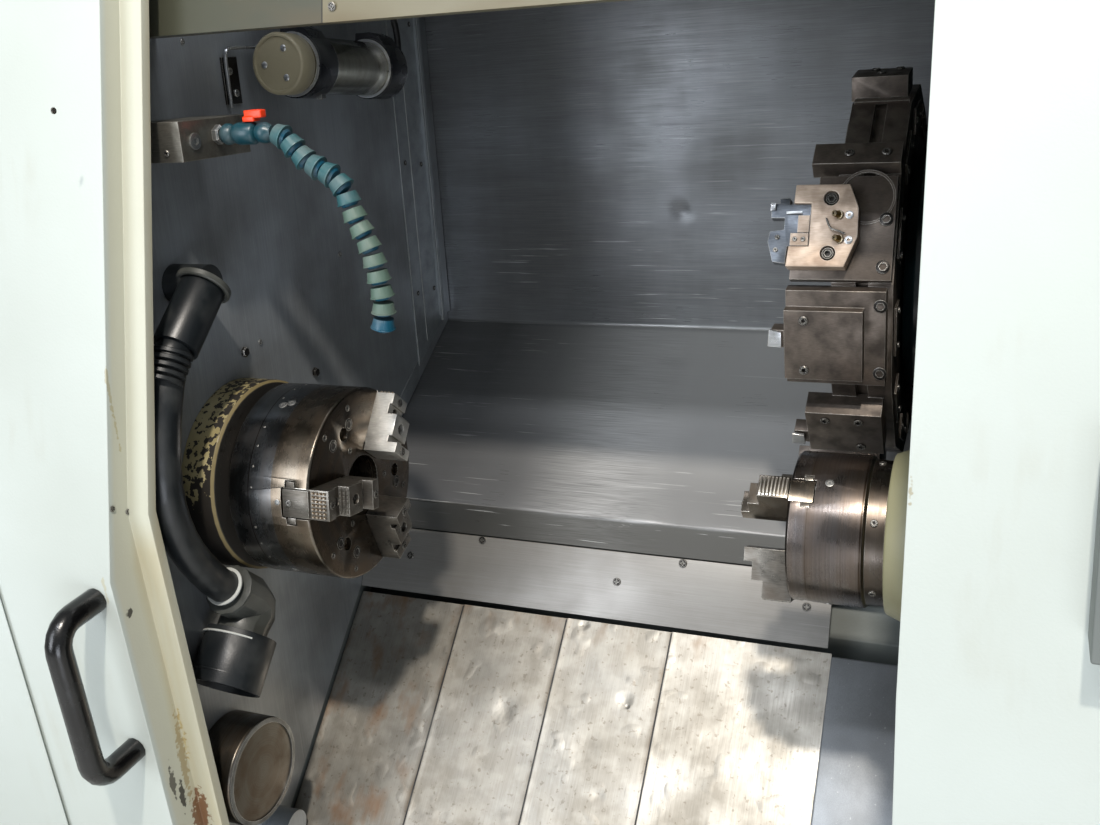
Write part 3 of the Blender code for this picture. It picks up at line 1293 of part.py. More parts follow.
def duct():
    """The black duct: wall coupling, flexible hose, elbow and open collar."""
    x = DUCT_X
    top = DUCT_SLEEVE_TOP
    sleeve_end = DUCT_SLEEVE_END
    sleeve_r = DUCT_R + 0.006
    piece = rod("duct_coupling", (x, *top), (x, *sleeve_end), sleeve_r, RUBBER, 24)
    stub = rod("wall_stub", (WALL_X + GAP, *top), (x + 0.01, *top), sleeve_r - 0.003, RUBBER, 24)
    smooth(join(piece, stub))
    hose = smooth_route([at(x, y, z) for y, z in DUCT_ROUTE], 22)
    smooth(pipe("duct_hose", hose, DUCT_R, RUBBER, sides=4))
    run = (hose[-1] - hose[-2]).normalized()
    near = Vector(DUCT_COLLAR_TOP)
    far = Vector(DUCT_COLLAR_END)
    down = (far - near).normalized()
    start = hose[-1] + run * GAP * 2
    straight = start + run * 0.006
    corner = at(x, *DUCT_CORNER)
    landing = at(x, *(near - down * 0.012))
    bend = [start, straight]
    for share in (0.25, 0.5, 0.75, 1.0):
        bend.append(straight.lerp(corner, share).lerp(corner.lerp(landing, share), share))
    bend.append(at(x, *(near - down * GAP * 3)))
    smooth(pipe("duct_elbow", bend, DUCT_ELBOW_R, CASTING, sides=4))
    x = WALL_X + GAP + DUCT_COLLAR_R
    collar = rod("duct_collar", (x, *near), (x, *far), DUCT_COLLAR_R, RUBBER, 32)
    bore = rod("collar_bore", (x, *(near + down * 0.02)), (x, *(far + down * 0.02)),
               DUCT_COLLAR_R - 0.006, RUBBER, 32)
    smooth(cut(collar, bore))


def round_cover():
    """The round steel cover low on the left wall."""
    r = ROUND_COVER_R
    long = ROUND_COVER_FACE - WALL_X
    profile = [(0, long), (r - 0.003, long), (r, long - 0.003), (r, GAP), (0, GAP)]
    smooth(turned_on_x("round_cover", profile, WALL_X, ROUND_COVER_Y, ROUND_COVER_Z,
                       BRIGHT_STEEL, 40))


bed()
chip_tray()
front_apron()
front_covers()
end_covers()
rear_cover()
roof_cover()
door_header()
door()
door_window()
door_handle()
operator_controls()
chamber_walls()
carriage_shield()
chip_strip()
way_covers()
headstock()
nose_ring()
main_spindle()
main_chuck_and_jaws()
drive()
sub_saddle()
sub_headstock()
sub_chuck_and_jaws()
carriage()
turret_slide()
turret_disc()
tool_block()
cutting_tool()
lamp()
coolant_line()
duct()
round_cover()
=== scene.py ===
"""The looks of the two-spindle turning lathe: finishes, fine shapes, camera and studio light.

Places are in metres from the centre of the main chuck's face: x runs along the spindle to the
right, y away from the operator, z up.  at() turns such a place into the frame of the model.
"""
import json
import math

import bmesh
import bpy
from mathutils import Matrix, Vector, noise

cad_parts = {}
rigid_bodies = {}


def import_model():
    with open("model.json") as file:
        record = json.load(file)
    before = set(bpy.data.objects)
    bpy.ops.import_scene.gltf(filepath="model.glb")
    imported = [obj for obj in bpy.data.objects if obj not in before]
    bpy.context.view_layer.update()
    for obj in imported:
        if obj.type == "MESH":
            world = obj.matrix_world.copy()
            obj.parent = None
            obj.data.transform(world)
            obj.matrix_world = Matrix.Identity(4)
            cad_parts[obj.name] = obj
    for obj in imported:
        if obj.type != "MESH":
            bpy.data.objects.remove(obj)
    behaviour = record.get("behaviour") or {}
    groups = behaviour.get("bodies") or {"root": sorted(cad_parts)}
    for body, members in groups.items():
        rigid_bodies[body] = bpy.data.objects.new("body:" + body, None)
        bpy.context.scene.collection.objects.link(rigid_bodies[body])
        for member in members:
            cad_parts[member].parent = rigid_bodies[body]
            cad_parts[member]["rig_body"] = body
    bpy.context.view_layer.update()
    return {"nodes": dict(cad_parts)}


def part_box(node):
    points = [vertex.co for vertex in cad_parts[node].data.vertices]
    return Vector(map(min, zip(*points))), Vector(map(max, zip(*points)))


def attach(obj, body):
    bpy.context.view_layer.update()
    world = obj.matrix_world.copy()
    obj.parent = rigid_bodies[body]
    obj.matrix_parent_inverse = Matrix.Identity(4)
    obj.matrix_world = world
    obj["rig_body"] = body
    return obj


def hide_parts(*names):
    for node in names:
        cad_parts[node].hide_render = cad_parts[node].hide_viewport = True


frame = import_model()
nodes = frame["nodes"]

# The viewpoint of the photograph.  The photographer stands at the open door and looks left and
# down into the chamber, with the camera rolled a little.
chuck_low, chuck_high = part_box("main_chuck")
chuck_middle = (chuck_low + chuck_high) / 2
CHUCK_FACE = Vector((chuck_high.x, chuck_middle.y, chuck_middle.z))
VIEW_FROM = (0.781, -1.190, 0.522)
VIEW_YAW = math.radians(23.01)
VIEW_PITCH = math.radians(17.47)
VIEW_ROLL = math.radians(3.58)
VIEW_LENS_MM = 36.83


def at(x, y, z):
    """A place given from the main chuck's face, in the frame of the model."""
    return CHUCK_FACE + Vector((x, y, z))


def aim_camera():
    """The camera's axes: forward from yaw and pitch, then rolled about it."""
    forward = Vector((-math.sin(VIEW_YAW) * math.cos(VIEW_PITCH),
                      math.cos(VIEW_YAW) * math.cos(VIEW_PITCH), -math.sin(VIEW_PITCH)))
    level = Vector((math.cos(VIEW_YAW), math.sin(VIEW_YAW), 0))
    upright = level.cross(forward)
    right = math.cos(VIEW_ROLL) * level - math.sin(VIEW_ROLL) * upright
    up = math.sin(VIEW_ROLL) * level + math.cos(VIEW_ROLL) * upright
    turn = Matrix((right, up, -forward)).transposed().to_4x4()
    turn.translation = at(*VIEW_FROM)
    return turn


camera = bpy.data.objects.new("camera", bpy.data.cameras.new("camera"))
bpy.context.scene.collection.objects.link(camera)
camera.data.sensor_width = 36
camera.data.lens = VIEW_LENS_MM
camera.data.clip_start = 0.02
camera.matrix_world = aim_camera()
bpy.context.scene.camera = camera

# The lamp's cable.  A black rubber-sheathed lead, 10 mm thick, that leaves the rear end of the
# tube lamp through a moulded sleeve and climbs into a gland on the left wall.
LAMP_FRONT = at(-0.130, 0.112, 0.536)
LAMP_DROP = math.radians(3.4)
LAMP_AXIS = Vector((0, math.cos(LAMP_DROP), -math.sin(LAMP_DROP)))
LAMP_LONG = 0.285
CABLE_R = 0.005


def linear(code):
    """A hex colour as linear red, green, blue and one."""
    parts = [int(code[i:i + 2], 16) / 255 for i in (0, 2, 4)]
    return [p / 12.92 if p <= 0.04045 else ((p + 0.055) / 1.055) ** 2.4 for p in parts] + [1.0]


def node(tree, kind, sockets, **settings):
    """Add one node; each socket gets a value or a link."""
    made = tree.nodes.new(kind)
    for setting, value in settings.items():
        setattr(made, setting, value)
    for socket, value in sockets.items():
        if isinstance(value, bpy.types.NodeSocket):
            tree.links.new(value, made.inputs[socket])
        else:
            made.inputs[socket].default_value = value
    return made


def new_finish(name, colour, roughness, metallic=0.0, ior=1.5):
    """Start a finish: its node tree, its shader, and places on the piece."""
    made = bpy.data.materials.new(name)
    made.use_nodes = True
    tree = made.node_tree
    shader = tree.nodes["Principled BSDF"]
    shader.inputs["Base Color"].default_value = linear(colour)
    shader.inputs["Roughness"].default_value = roughness
    shader.inputs["Metallic"].default_value = metallic
    if not metallic:
        shader.inputs["IOR"].default_value = ior
    place = node(tree, "ShaderNodeTexCoord", {}).outputs["Object"]
    return made, tree, shader, place


def ramp(tree, value, start, end, **settings):
    """A share that runs from 0 to 1 while a value runs from start to end."""
    return node(tree, "ShaderNodeMapRange", {"Value": value, "From Min": start, "From Max": end},
                **settings).outputs["Result"]


def clouds(tree, place, size_mm, low, high, stretch=(1, 1, 1), detail=4.0):
    """A cloudy share from 0 to 1: cloud size in mm, drawn out along the stretched axes."""
    scale = [1000 / size_mm / s for s in stretch]
    moved = node(tree, "ShaderNodeMapping", {"Vector": place, "Scale": scale}).outputs["Vector"]
    cloud = node(tree, "ShaderNodeTexNoise", {"Vector": moved, "Scale": 1.0, "Detail": detail})
    return ramp(tree, cloud.outputs["Fac"], low, high)


def blend(tree, share, first, second):
    """Mix two colours by a share."""
    return node(tree, "ShaderNodeMix", {0: share, 6: first, 7: second},
                data_type="RGBA").outputs[2]


def combine(tree, operation, first, second):
    """Arithmetic on two shares, held between 0 and 1."""
    return node(tree, "ShaderNodeMath", {0: first, 1: second}, operation=operation,
                use_clamp=True).outputs[0]


def both(tree, *shares):
    """The product of shares: where all of them hold."""
    product = shares[0]
    for share in shares[1:]:
        product = combine(tree, "MULTIPLY", product, share)
    return product


def layered(tree, colour, *layers):
    """Lay hex colours over a colour in turn: (share, hex colour, strength) for each."""
    for share, code, strength in layers:
        colour = blend(tree, both(tree, share, strength), colour, linear(code))
    return colour


def between(tree, share, low, high):
    """Spread a share from 0 to 1 over another range."""
    return node(tree, "ShaderNodeMapRange", {"Value": share, "To Min": low,
                                             "To Max": high}).outputs["Result"]


def paint_surface(tree, shader, colour, roughness):
    """Link worked-out colour and roughness to the shader."""
    tree.links.new(colour, shader.inputs["Base Color"])
    tree.links.new(roughness, shader.inputs["Roughness"])


def relief(tree, shader, height, depth_mm, under=None):
    """Raise the surface by a height pattern, over another relief if one is given."""
    sockets = {"Height": height, "Distance": depth_mm / 1000}
    if under is not None:
        sockets["Normal"] = under
    bump = node(tree, "ShaderNodeBump", sockets).outputs["Normal"]
    tree.links.new(bump, shader.inputs["Normal"])
    return bump


def rubber(name, colour, roughness, dust):
    """Moulded rubber or plastic: an even colour with a soft sheen, and a grey bloom of dried
    coolant in patches."""
    made, tree, shader, place = new_finish(name, colour, roughness, ior=1.52)
    bloom = clouds(tree, place, 45, 0.48, 0.75)
    fine = clouds(tree, place, 2, 0.3, 0.7)
    paint_surface(tree, shader, layered(tree, linear(colour), (bloom, "6e706c", dust)),
                  between(tree, bloom, roughness, roughness + 0.25))
    relief(tree, shader, fine, 0.05)
    return made


def piece(name, body, finish, rider, stands_for=(), angle=35.0):
    """Turn a bmesh into a smooth-shaded piece with its finish, riding on a CAD body."""
    bmesh.ops.recalc_face_normals(body, faces=body.faces)
    mesh = bpy.data.meshes.new(name)
    body.to_mesh(mesh)
    body.free()
    mesh.shade_smooth()
    mesh.set_sharp_from_angle(angle=math.radians(angle))
    mesh.materials.append(finish)
    made = bpy.data.objects.new(name, mesh)
    bpy.context.scene.collection.objects.link(made)
    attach(made, rider)
    if stands_for:
        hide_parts(*stands_for)
    return made


def smooth_route(points, count):
    """Evenly spread points on a smooth curve through the given ones."""
    ends = [points[0] * 2 - points[1]] + list(points) + [points[-1] * 2 - points[-2]]
    fine = []
    for i in range(1, len(ends) - 2):
        p0, p1, p2, p3 = ends[i - 1:i + 3]
        for k in range(16):
            t = k / 16
            fine.append(0.5 * (2 * p1 + (p2 - p0) * t + (2 * p0 - 5 * p1 + 4 * p2 - p3) * t ** 2
                               + (3 * p1 - p0 - 3 * p2 + p3) * t ** 3))
    fine.append(points[-1])
    travelled = [0.0]
    for a, b in zip(fine, fine[1:]):
        travelled.append(travelled[-1] + (b - a).length)
    route = []
    k = 0
    for i in range(count):
        goal = travelled[-1] * i / (count - 1)
        while k < len(fine) - 2 and travelled[k + 1] < goal:
            k += 1
        span = travelled[k + 1] - travelled[k]
        route.append(fine[k].lerp(fine[k + 1], 0 if span == 0 else (goal - travelled[k]) / span))
    return route


def add_tube(body, route, radii, sides=20):
    """Add a round closed tube along a route, with a radius at each point."""
    heading = (route[1] - route[0]).normalized()
    side = heading.orthogonal().normalized()
    rows = []
    for i, point in enumerate(route):
        ahead = route[min(i + 1, len(route) - 1)] - route[max(i - 1, 0)]
        turn = heading.rotation_difference(ahead.normalized())
        side = turn @ side
        heading = ahead.normalized()
        up = heading.cross(side)
        row = []
        for k in range(sides):
            a = 2 * math.pi * k / sides
            row.append(body.verts.new(point + (side * math.cos(a) + up * math.sin(a)) * radii[i]))
        rows.append(row)
    for first, second in zip(rows, rows[1:]):
        for k in range(sides):
            j = (k + 1) % sides
            body.faces.new((first[k], first[j], second[j], second[k]))
    body.faces.new(list(reversed(rows[0])))
    body.faces.new(rows[-1])


cable_rubber = rubber("cable_rubber", "101011", 0.45, 0.15)
cable_exit = LAMP_FRONT + LAMP_AXIS * (LAMP_LONG + 0.0003)
cable_points = [cable_exit, cable_exit + Vector((0, 0.022, 0.000)),
                cable_exit + Vector((0, 0.040, 0.018)), cable_exit + Vector((-0.004, 0.048, 0.060)),
                cable_exit + Vector((-0.020, 0.056, 0.110)), at(-0.178, 0.467, 0.732)]
cable_route = smooth_route(cable_points, 40)
shape = bmesh.new()
add_tube(shape, cable_route, [CABLE_R] * len(cable_route), 16)
lamp_cable = piece("lamp_cable_lead", shape, cable_rubber, "base", ["lamp_cable"])

# The cast bed, the motor and the spindle head.  Grey cast iron, sand cast and painted with a
# thick grey machine enamel that fills the grain, bare and oily where the ways are ground.


def refined(name, edge_mm, finish, segments=2):
    """A copy of a CAD node with merged corners, rounded edges and smooth shading."""
    body = bmesh.new()
    body.from_mesh(nodes[name].data)
    bmesh.ops.remove_doubles(body, verts=body.verts, dist=0.00002)
    bmesh.ops.dissolve_limit(body, angle_limit=math.radians(1.0), verts=body.verts,
                             edges=body.edges)
    sharp = [e for e in body.edges
             if len(e.link_faces) == 2 and e.calc_face_angle(0) > math.radians(30)]
    if edge_mm and sharp:
        bmesh.ops.bevel(body, geom=sharp, offset=edge_mm / 1000, segments=segments, profile=0.6,
                        affect="EDGES", clamp_overlap=False)
    piece(name + "_finished", body, finish, nodes[name]["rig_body"], [name])


def enamel(name, light, dark, roughness, peel_mm, grime):
    """Sprayed enamel over metal: cloudy tone, orange-peel skin and runs of grime."""
    made, tree, shader, place = new_finish(name, light, roughness, ior=1.52)
    tone = clouds(tree, place, 420, 0.30, 0.70)
    runs = clouds(tree, place, 22, 0.55, 0.85, stretch=(1, 1, 14))
    dirt = clouds(tree, place, 130, 0.50, 0.80, detail=8.0)
    skin = clouds(tree, place, peel_mm, 0.35, 0.65, detail=2.0)
    colour = blend(tree, tone, linear(light), linear(dark))
    colour = layered(tree, colour, (both(tree, runs, dirt), "6b5f45", grime))
    paint_surface(tree, shader, colour, between(tree, dirt, roughness, roughness + 0.15))
    relief(tree, shader, skin, 0.06)
    return made


casting_paint = enamel("grey_machine_enamel", "6f7572", "5d6361", 0.55, 4, 0.6)
teal_paint = enamel("dark_green_gloss_enamel", "17282a", "101d20", 0.22, 6, 0.25)
for name in ("bed", "headstock", "spindle_motor"):
    refined(name, 2.0, casting_paint)
refined("chip_tray", 0.8, teal_paint)

# The sheets of the working chamber.  Stainless sheet, 2 to 3 mm thick, with a brushed face along
# the rolling direction, dulled and stained by years of coolant, folded and screwed to the bed.


def maths(tree, operation, *values):
    """Arithmetic on numbers, whatever their size."""
    return node(tree, "ShaderNodeMath", dict(enumerate(values)), operation=operation).outputs[0]


def vector_maths(tree, operation, *values):
    """Arithmetic on places, as a place or, for a length, as a number."""
    made = node(tree, "ShaderNodeVectorMath", dict(enumerate(values)), operation=operation)
    number = operation in ("LENGTH", "DISTANCE", "DOT_PRODUCT")
    return made.outputs["Value" if number else "Vector"]


def mean(tree, first, weight, second):
    """The mean of two shares, with the weight of the first."""
    return combine(tree, "ADD", both(tree, first, weight), both(tree, second, 1 - weight))


def edge_wear_and_glint(tree, radius_mm, low, high):
    """A share that rises near sharp edges: metal worn bright there, and a painted highlight along
    them.
    """
    rounded = node(tree, "ShaderNodeBevel", {"Radius": radius_mm / 1000}, samples=4)
    true = node(tree, "ShaderNodeNewGeometry", {})
    same = vector_maths(tree, "DOT_PRODUCT", rounded.outputs["Normal"], true.outputs["Normal"])
    return ramp(tree, same, low, high)


def brushed_sheet(name, light, dark, roughness, along, stain, scratch):
    """Brushed stainless sheet: fine lines along one axis, dull blotches, stains and scratches."""
    made, tree, shader, place = new_finish(name, light, roughness, metallic=0.6)

    def drawn(times):
        return [times if axis == along else 1 for axis in "xyz"]

    brush = clouds(tree, place, 1.2, 0.25, 0.75, drawn(60), 2.0)
    bands = clouds(tree, place, 16, 0.35, 0.65, drawn(14))
    blotch = clouds(tree, place, 150, 0.38, 0.66, detail=7.0)
    lines = clouds(tree, place, 5, 0.69, 0.72, drawn(50))
    colour = blend(tree, between(tree, brush, 0.2, 0.8), linear(light), linear(dark))
    colour = layered(tree, colour, (bands, dark, 0.35), (blotch, "4a4640", stain),
                     (lines, "d9d9d4", scratch))
    paint_surface(tree, shader, colour, between(tree, mean(tree, brush, 0.4, blotch),
                                                roughness - 0.08, roughness + 0.14))
    wavy = clouds(tree, place, 260, 0.2, 0.8, detail=1.0)
    relief(tree, shader, brush, 0.03, relief(tree, shader, wavy, 3.0))
    return made


def ground_steel(name, light, dark, roughness, stain, tint="4e4338", grind_mm=0.9, metal=0.85):
    """Surface-ground steel blocks: short grinding lines, oil film in patches, edges bright from
    wear and a painted highlight.
    """
    made, tree, shader, place = new_finish(name, light, roughness, metallic=metal)
    grind = clouds(tree, place, grind_mm, 0.3, 0.7, stretch=(10, 1, 1), detail=2.0)
    blotch = clouds(tree, place, 24, 0.40, 0.68, detail=7.0)
    colour = blend(tree, grind, linear(light), linear(dark))
    # The pale edge colour is partly wear and partly a painted highlight.
    colour = layered(tree, colour, (blotch, tint, stain),
                     (edge_wear_and_glint(tree, 0.9, 0.999, 0.93), "e2dfd6", 0.75))
    paint_surface(tree, shader, colour, between(tree, blotch, roughness - 0.05, roughness + 0.18))
    relief(tree, shader, grind, 0.02)
    return made


FASTENER_SIZES = ("Head radius", "Head height", "Recess width", "Recess depth")


def begin_tree(name, **labels):
    """Start a tree that takes points, named numbers listed by their kind, and a finish."""
    tree = bpy.data.node_groups.new(name, "GeometryNodeTree")
    tree.interface.new_socket("Geometry", in_out="INPUT", socket_type="NodeSocketGeometry")
    for kind, names in labels.items():
        for label in names:
            tree.interface.new_socket(label, in_out="INPUT", socket_type="NodeSocket" + kind)
    tree.interface.new_socket("Finish", in_out="INPUT", socket_type="NodeSocketMaterial")
    tree.interface.new_socket("Geometry", in_out="OUTPUT", socket_type="NodeSocketGeometry")
    return tree, node(tree, "NodeGroupInput", {}).outputs


def end_tree(tree, given, instances):
    """Make the instances real, give them the finish and hand them out."""
    solid = node(tree, "GeometryNodeRealizeInstances", {"Geometry": instances}).outputs[0]
    done = node(tree, "GeometryNodeSetMaterial", {"Geometry": solid, "Material": given["Finish"]})
    node(tree, "NodeGroupOutput", {"Geometry": done.outputs[0]})
    return tree


def set_on_points(tree, given, single):
    """End a tree with one copy of a shape on each point, along the point's facing."""
    facing = node(tree, "GeometryNodeInputNamedAttribute", {"Name": "facing"},
                  data_type="FLOAT_VECTOR").outputs["Attribute"]
    turn = node(tree, "FunctionNodeAlignRotationToVector", {"Vector": facing}, axis="Z").outputs[0]
    many = node(tree, "GeometryNodeInstanceOnPoints", {"Points": given["Geometry"],
                                                       "Instance": single, "Rotation": turn})
    return end_tree(tree, given, many.outputs[0])


def raised(tree, shape, lift):
    """A shape lifted along Z."""
    spot = node(tree, "ShaderNodeCombineXYZ", {"Z": lift}).outputs[0]
    return node(tree, "GeometryNodeTransform", {"Geometry": shape, "Translation": spot}).outputs[0]


def joined(tree, operation, first, *others):
    """Shapes made one, or the others cut from the first."""
    start = "Mesh 1" if operation == "DIFFERENCE" else "Mesh 2"
    made = node(tree, "GeometryNodeMeshBoolean", {start: first}, operation=operation)
    for other in others:
        tree.links.new(other, made.inputs["Mesh 2"])
    return made.outputs["Mesh"]


def fastener_tree(name, sides, recess):
    """Nodes that set one screw head, with its driving recess, on each point along its facing."""
    tree, given = begin_tree(name, Float=FASTENER_SIZES)
    radius, height, wide, deep = [given[label] for label in FASTENER_SIZES]

    def times(value, factor):
        return maths(tree, "MULTIPLY", value, factor)

    shank = node(tree, "GeometryNodeMeshCylinder", {"Vertices": sides, "Radius": radius,
                                                    "Depth": times(height, 0.7)}).outputs["Mesh"]
    crown = node(tree, "GeometryNodeMeshCone", {"Vertices": sides, "Radius Bottom": radius,
                                                "Radius Top": times(radius, 0.84),
                                                "Depth": times(height, 0.3)}).outputs["Mesh"]
    head = joined(tree, "UNION", raised(tree, shank, times(height, 0.35)),
                  raised(tree, crown, times(height, 0.7)))
    deep = times(deep, 2.0)
    if recess == "hex":
        tool = node(tree, "GeometryNodeMeshCylinder", {"Vertices": 6, "Radius": times(wide, 0.577),
                                                       "Depth": deep}).outputs["Mesh"]
    else:
        bars = []
        for along, across in ((1.0, 0.22), (0.22, 1.0)):
            size = node(tree, "ShaderNodeCombineXYZ", {"X": times(wide, along),
                                                       "Y": times(wide, across), "Z": deep})
            bars.append(node(tree, "GeometryNodeMeshCube", {"Size": size.outputs[0]}).outputs[0])
        tool = joined(tree, "UNION", *bars)
    screw = joined(tree, "DIFFERENCE", head, raised(tree, tool, height))
    return set_on_points(tree, given, screw)


def planted(name, tree, sizes, spots, finish, rider):
    """Run a tree on points with a facing each, and keep the result as a plain mesh."""
    mesh = bpy.data.meshes.new(name)
    mesh.from_pydata([spot for spot, facing in spots], [], [])
    facings = mesh.attributes.new("facing", "FLOAT_VECTOR", "POINT")
    facings.data.foreach_set("vector", [c for spot, facing in spots
                                        for c in Vector(facing).normalized()])
    made = bpy.data.objects.new(name, mesh)
    step = made.modifiers.new("planted", "NODES")
    step.node_group = tree
    given = dict(sizes, Finish=finish)
    for socket in tree.interface.items_tree:
        if socket.in_out == "INPUT" and socket.name in given:
            step[socket.identifier] = given[socket.name]
    bpy.context.scene.collection.objects.link(made)
    graph = bpy.context.evaluated_depsgraph_get()
    flat = bpy.data.meshes.new_from_object(made.evaluated_get(graph))
    made.modifiers.remove(step)
    made.data = flat
    flat.shade_smooth()
    flat.set_sharp_from_angle(angle=math.radians(35))
    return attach(made, rider)


def screws(name, kind, sizes_mm, spots, finish, rider):
    """Screws on (place, facing) spots: head radius and height, recess width and depth in mm."""
    sizes = {label: size / 1000 for label, size in zip(FASTENER_SIZES, sizes_mm)}
    return planted(name, kind, sizes, spots, finish, rider)


cap_screw = fastener_tree("socket_cap_screw", 20, "hex")
cross_screw = fastener_tree("cross_head_screw", 20, "cross")
hex_bolt = fastener_tree("hexagon_bolt", 6, "hex")
black_oxide = ground_steel("black_oxide_steel", "3a3836", "2a2827", 0.38, 0.3, "15130f")
zinc_plate = ground_steel("dull_zinc_plate", "8d8f8e", "74777a", 0.42, 0.5, "4a4439")
wall_sheet = brushed_sheet("dull_wall_sheet", "b2b8bd", "989ea3", 0.42, "z", 0.45, 0.12)
strip_sheet = brushed_sheet("brushed_strip_sheet", "a3a19d", "8c8a86", 0.40, "x", 0.30, 0.10)
refined("chamber_wall_left", 0, wall_sheet)
refined("chamber_wall_right", 0, wall_sheet)
refined("chip_strip", 0.3, strip_sheet)
base = nodes["bed"]["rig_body"]
carriage_body = nodes["carriage_shield"]["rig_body"]
STRIP_FACING = (0, -0.907, 0.42)
strip_screws = [(at(x, y, z) + Vector(STRIP_FACING) * 0.0004, STRIP_FACING) for x, y, z in (
    (0.021, 0.292, -0.2075), (0.252, 0.275, -0.2440), (0.352, 0.2915, -0.2085),
    (0.538, 0.274, -0.2465), (-0.105, 0.276, -0.2420))]
screws("strip_screws", cross_screw, (6.2, 2.6, 6.2, 1.7), strip_screws, black_oxide, base)

# The folded cover behind, which travels with the turret: one sheet with two bends.  Years of
# chips have hammered its sloping part and its front lip, so it is wavy there and dented.


def spread(low, high, step):
    """Evenly spaced numbers from low to high, about a step apart."""
    count = max(1, round((high - low) / step))
    return [low + (high - low) * i / count for i in range(count + 1)]


def folded_sheet(name, corners, x_lines, thick_mm, push, finish, rider, stands_for, step_mm=9.0):
    """A folded sheet with rounded bends; push(x, run) moves both faces out along the normal."""
    bend = 0.004
    path = [Vector(corners[0])]
    for k in range(len(corners) - 1):
        a = Vector(corners[k])
        b = Vector(corners[k + 1])
        heading = (b - a).normalized()
        start = a + heading * (bend if k else 0)
        last = k == len(corners) - 2
        end = b - heading * (0 if last else bend)
        count = max(1, round((end - start).length / (step_mm / 1000)))
        path += [start.lerp(end, (i + 1) / count) for i in range(count)]
        if not last:
            after = b + (Vector(corners[k + 2]) - b).normalized() * bend
            for i in range(1, 6):
                t = i / 5
                path.append(end * (1 - t) ** 2 + b * 2 * t * (1 - t) + after * t ** 2)
    body = bmesh.new()
    run = 0.0
    fronts = []
    backs = []
    for k, point in enumerate(path):
        ahead = (path[min(k + 1, len(path) - 1)] - path[max(k - 1, 0)]).normalized()
        normal = Vector((0, ahead.y, -ahead.x))
        run += (point - path[k - 1]).length if k else 0.0
        front = []
        back = []
        for x in x_lines:
            spot = at(x, *point) + normal * push(x, run)
            front.append(body.verts.new(spot))
            back.append(body.verts.new(spot - normal * thick_mm / 1000))
        fronts.append(front)
        backs.append(back)
    last = len(x_lines) - 1
    for k in range(len(path) - 1):
        for i in range(last):
            body.faces.new((fronts[k][i], fronts[k][i + 1], fronts[k + 1][i + 1],
                            fronts[k + 1][i]))
            body.faces.new((backs[k][i], backs[k + 1][i], backs[k + 1][i + 1], backs[k][i + 1]))
        for i in (0, last):
            body.faces.new((fronts[k][i], backs[k][i], backs[k + 1][i], fronts[k + 1][i]))
    for k in (0, -1):
        for i in range(last):
            body.faces.new((fronts[k][i], backs[k][i], backs[k][i + 1], fronts[k][i + 1]))
    return piece(name, body, finish, rider, stands_for, 40)


def shield_push(x, run):
    """How far the folded cover is pushed out of true, in metres."""
    wave = noise.noise(Vector((x * 4, run * 4, 1.7))) * 0.0009
    ease = min(1, max(0, (x + 0.13) / 0.05))
    push = wave * ease
    for x0, run0, wide, deep in ((0.265, 0.436, 0.014, -0.0032), (0.264, 0.698, 0.026, -0.0020),
                                 (0.285, 1.041, 0.045, 0.0034), (0.10, 1.045, 0.060, 0.0012),
                                 (0.42, 1.043, 0.050, 0.0018), (0.205, 1.046, 0.022, -0.0014)):
        far = ((x - x0) ** 2 + (run - run0) ** 2) / wide ** 2
        push += deep * math.exp(-far * 1.6)
    return push


def from_chuck(tree, place):
    """The x, y and z of a place, from the main chuck's face."""
    moved = vector_maths(tree, "SUBTRACT", place, CHUCK_FACE)
    return node(tree, "ShaderNodeSeparateXYZ", {"Vector": moved}).outputs


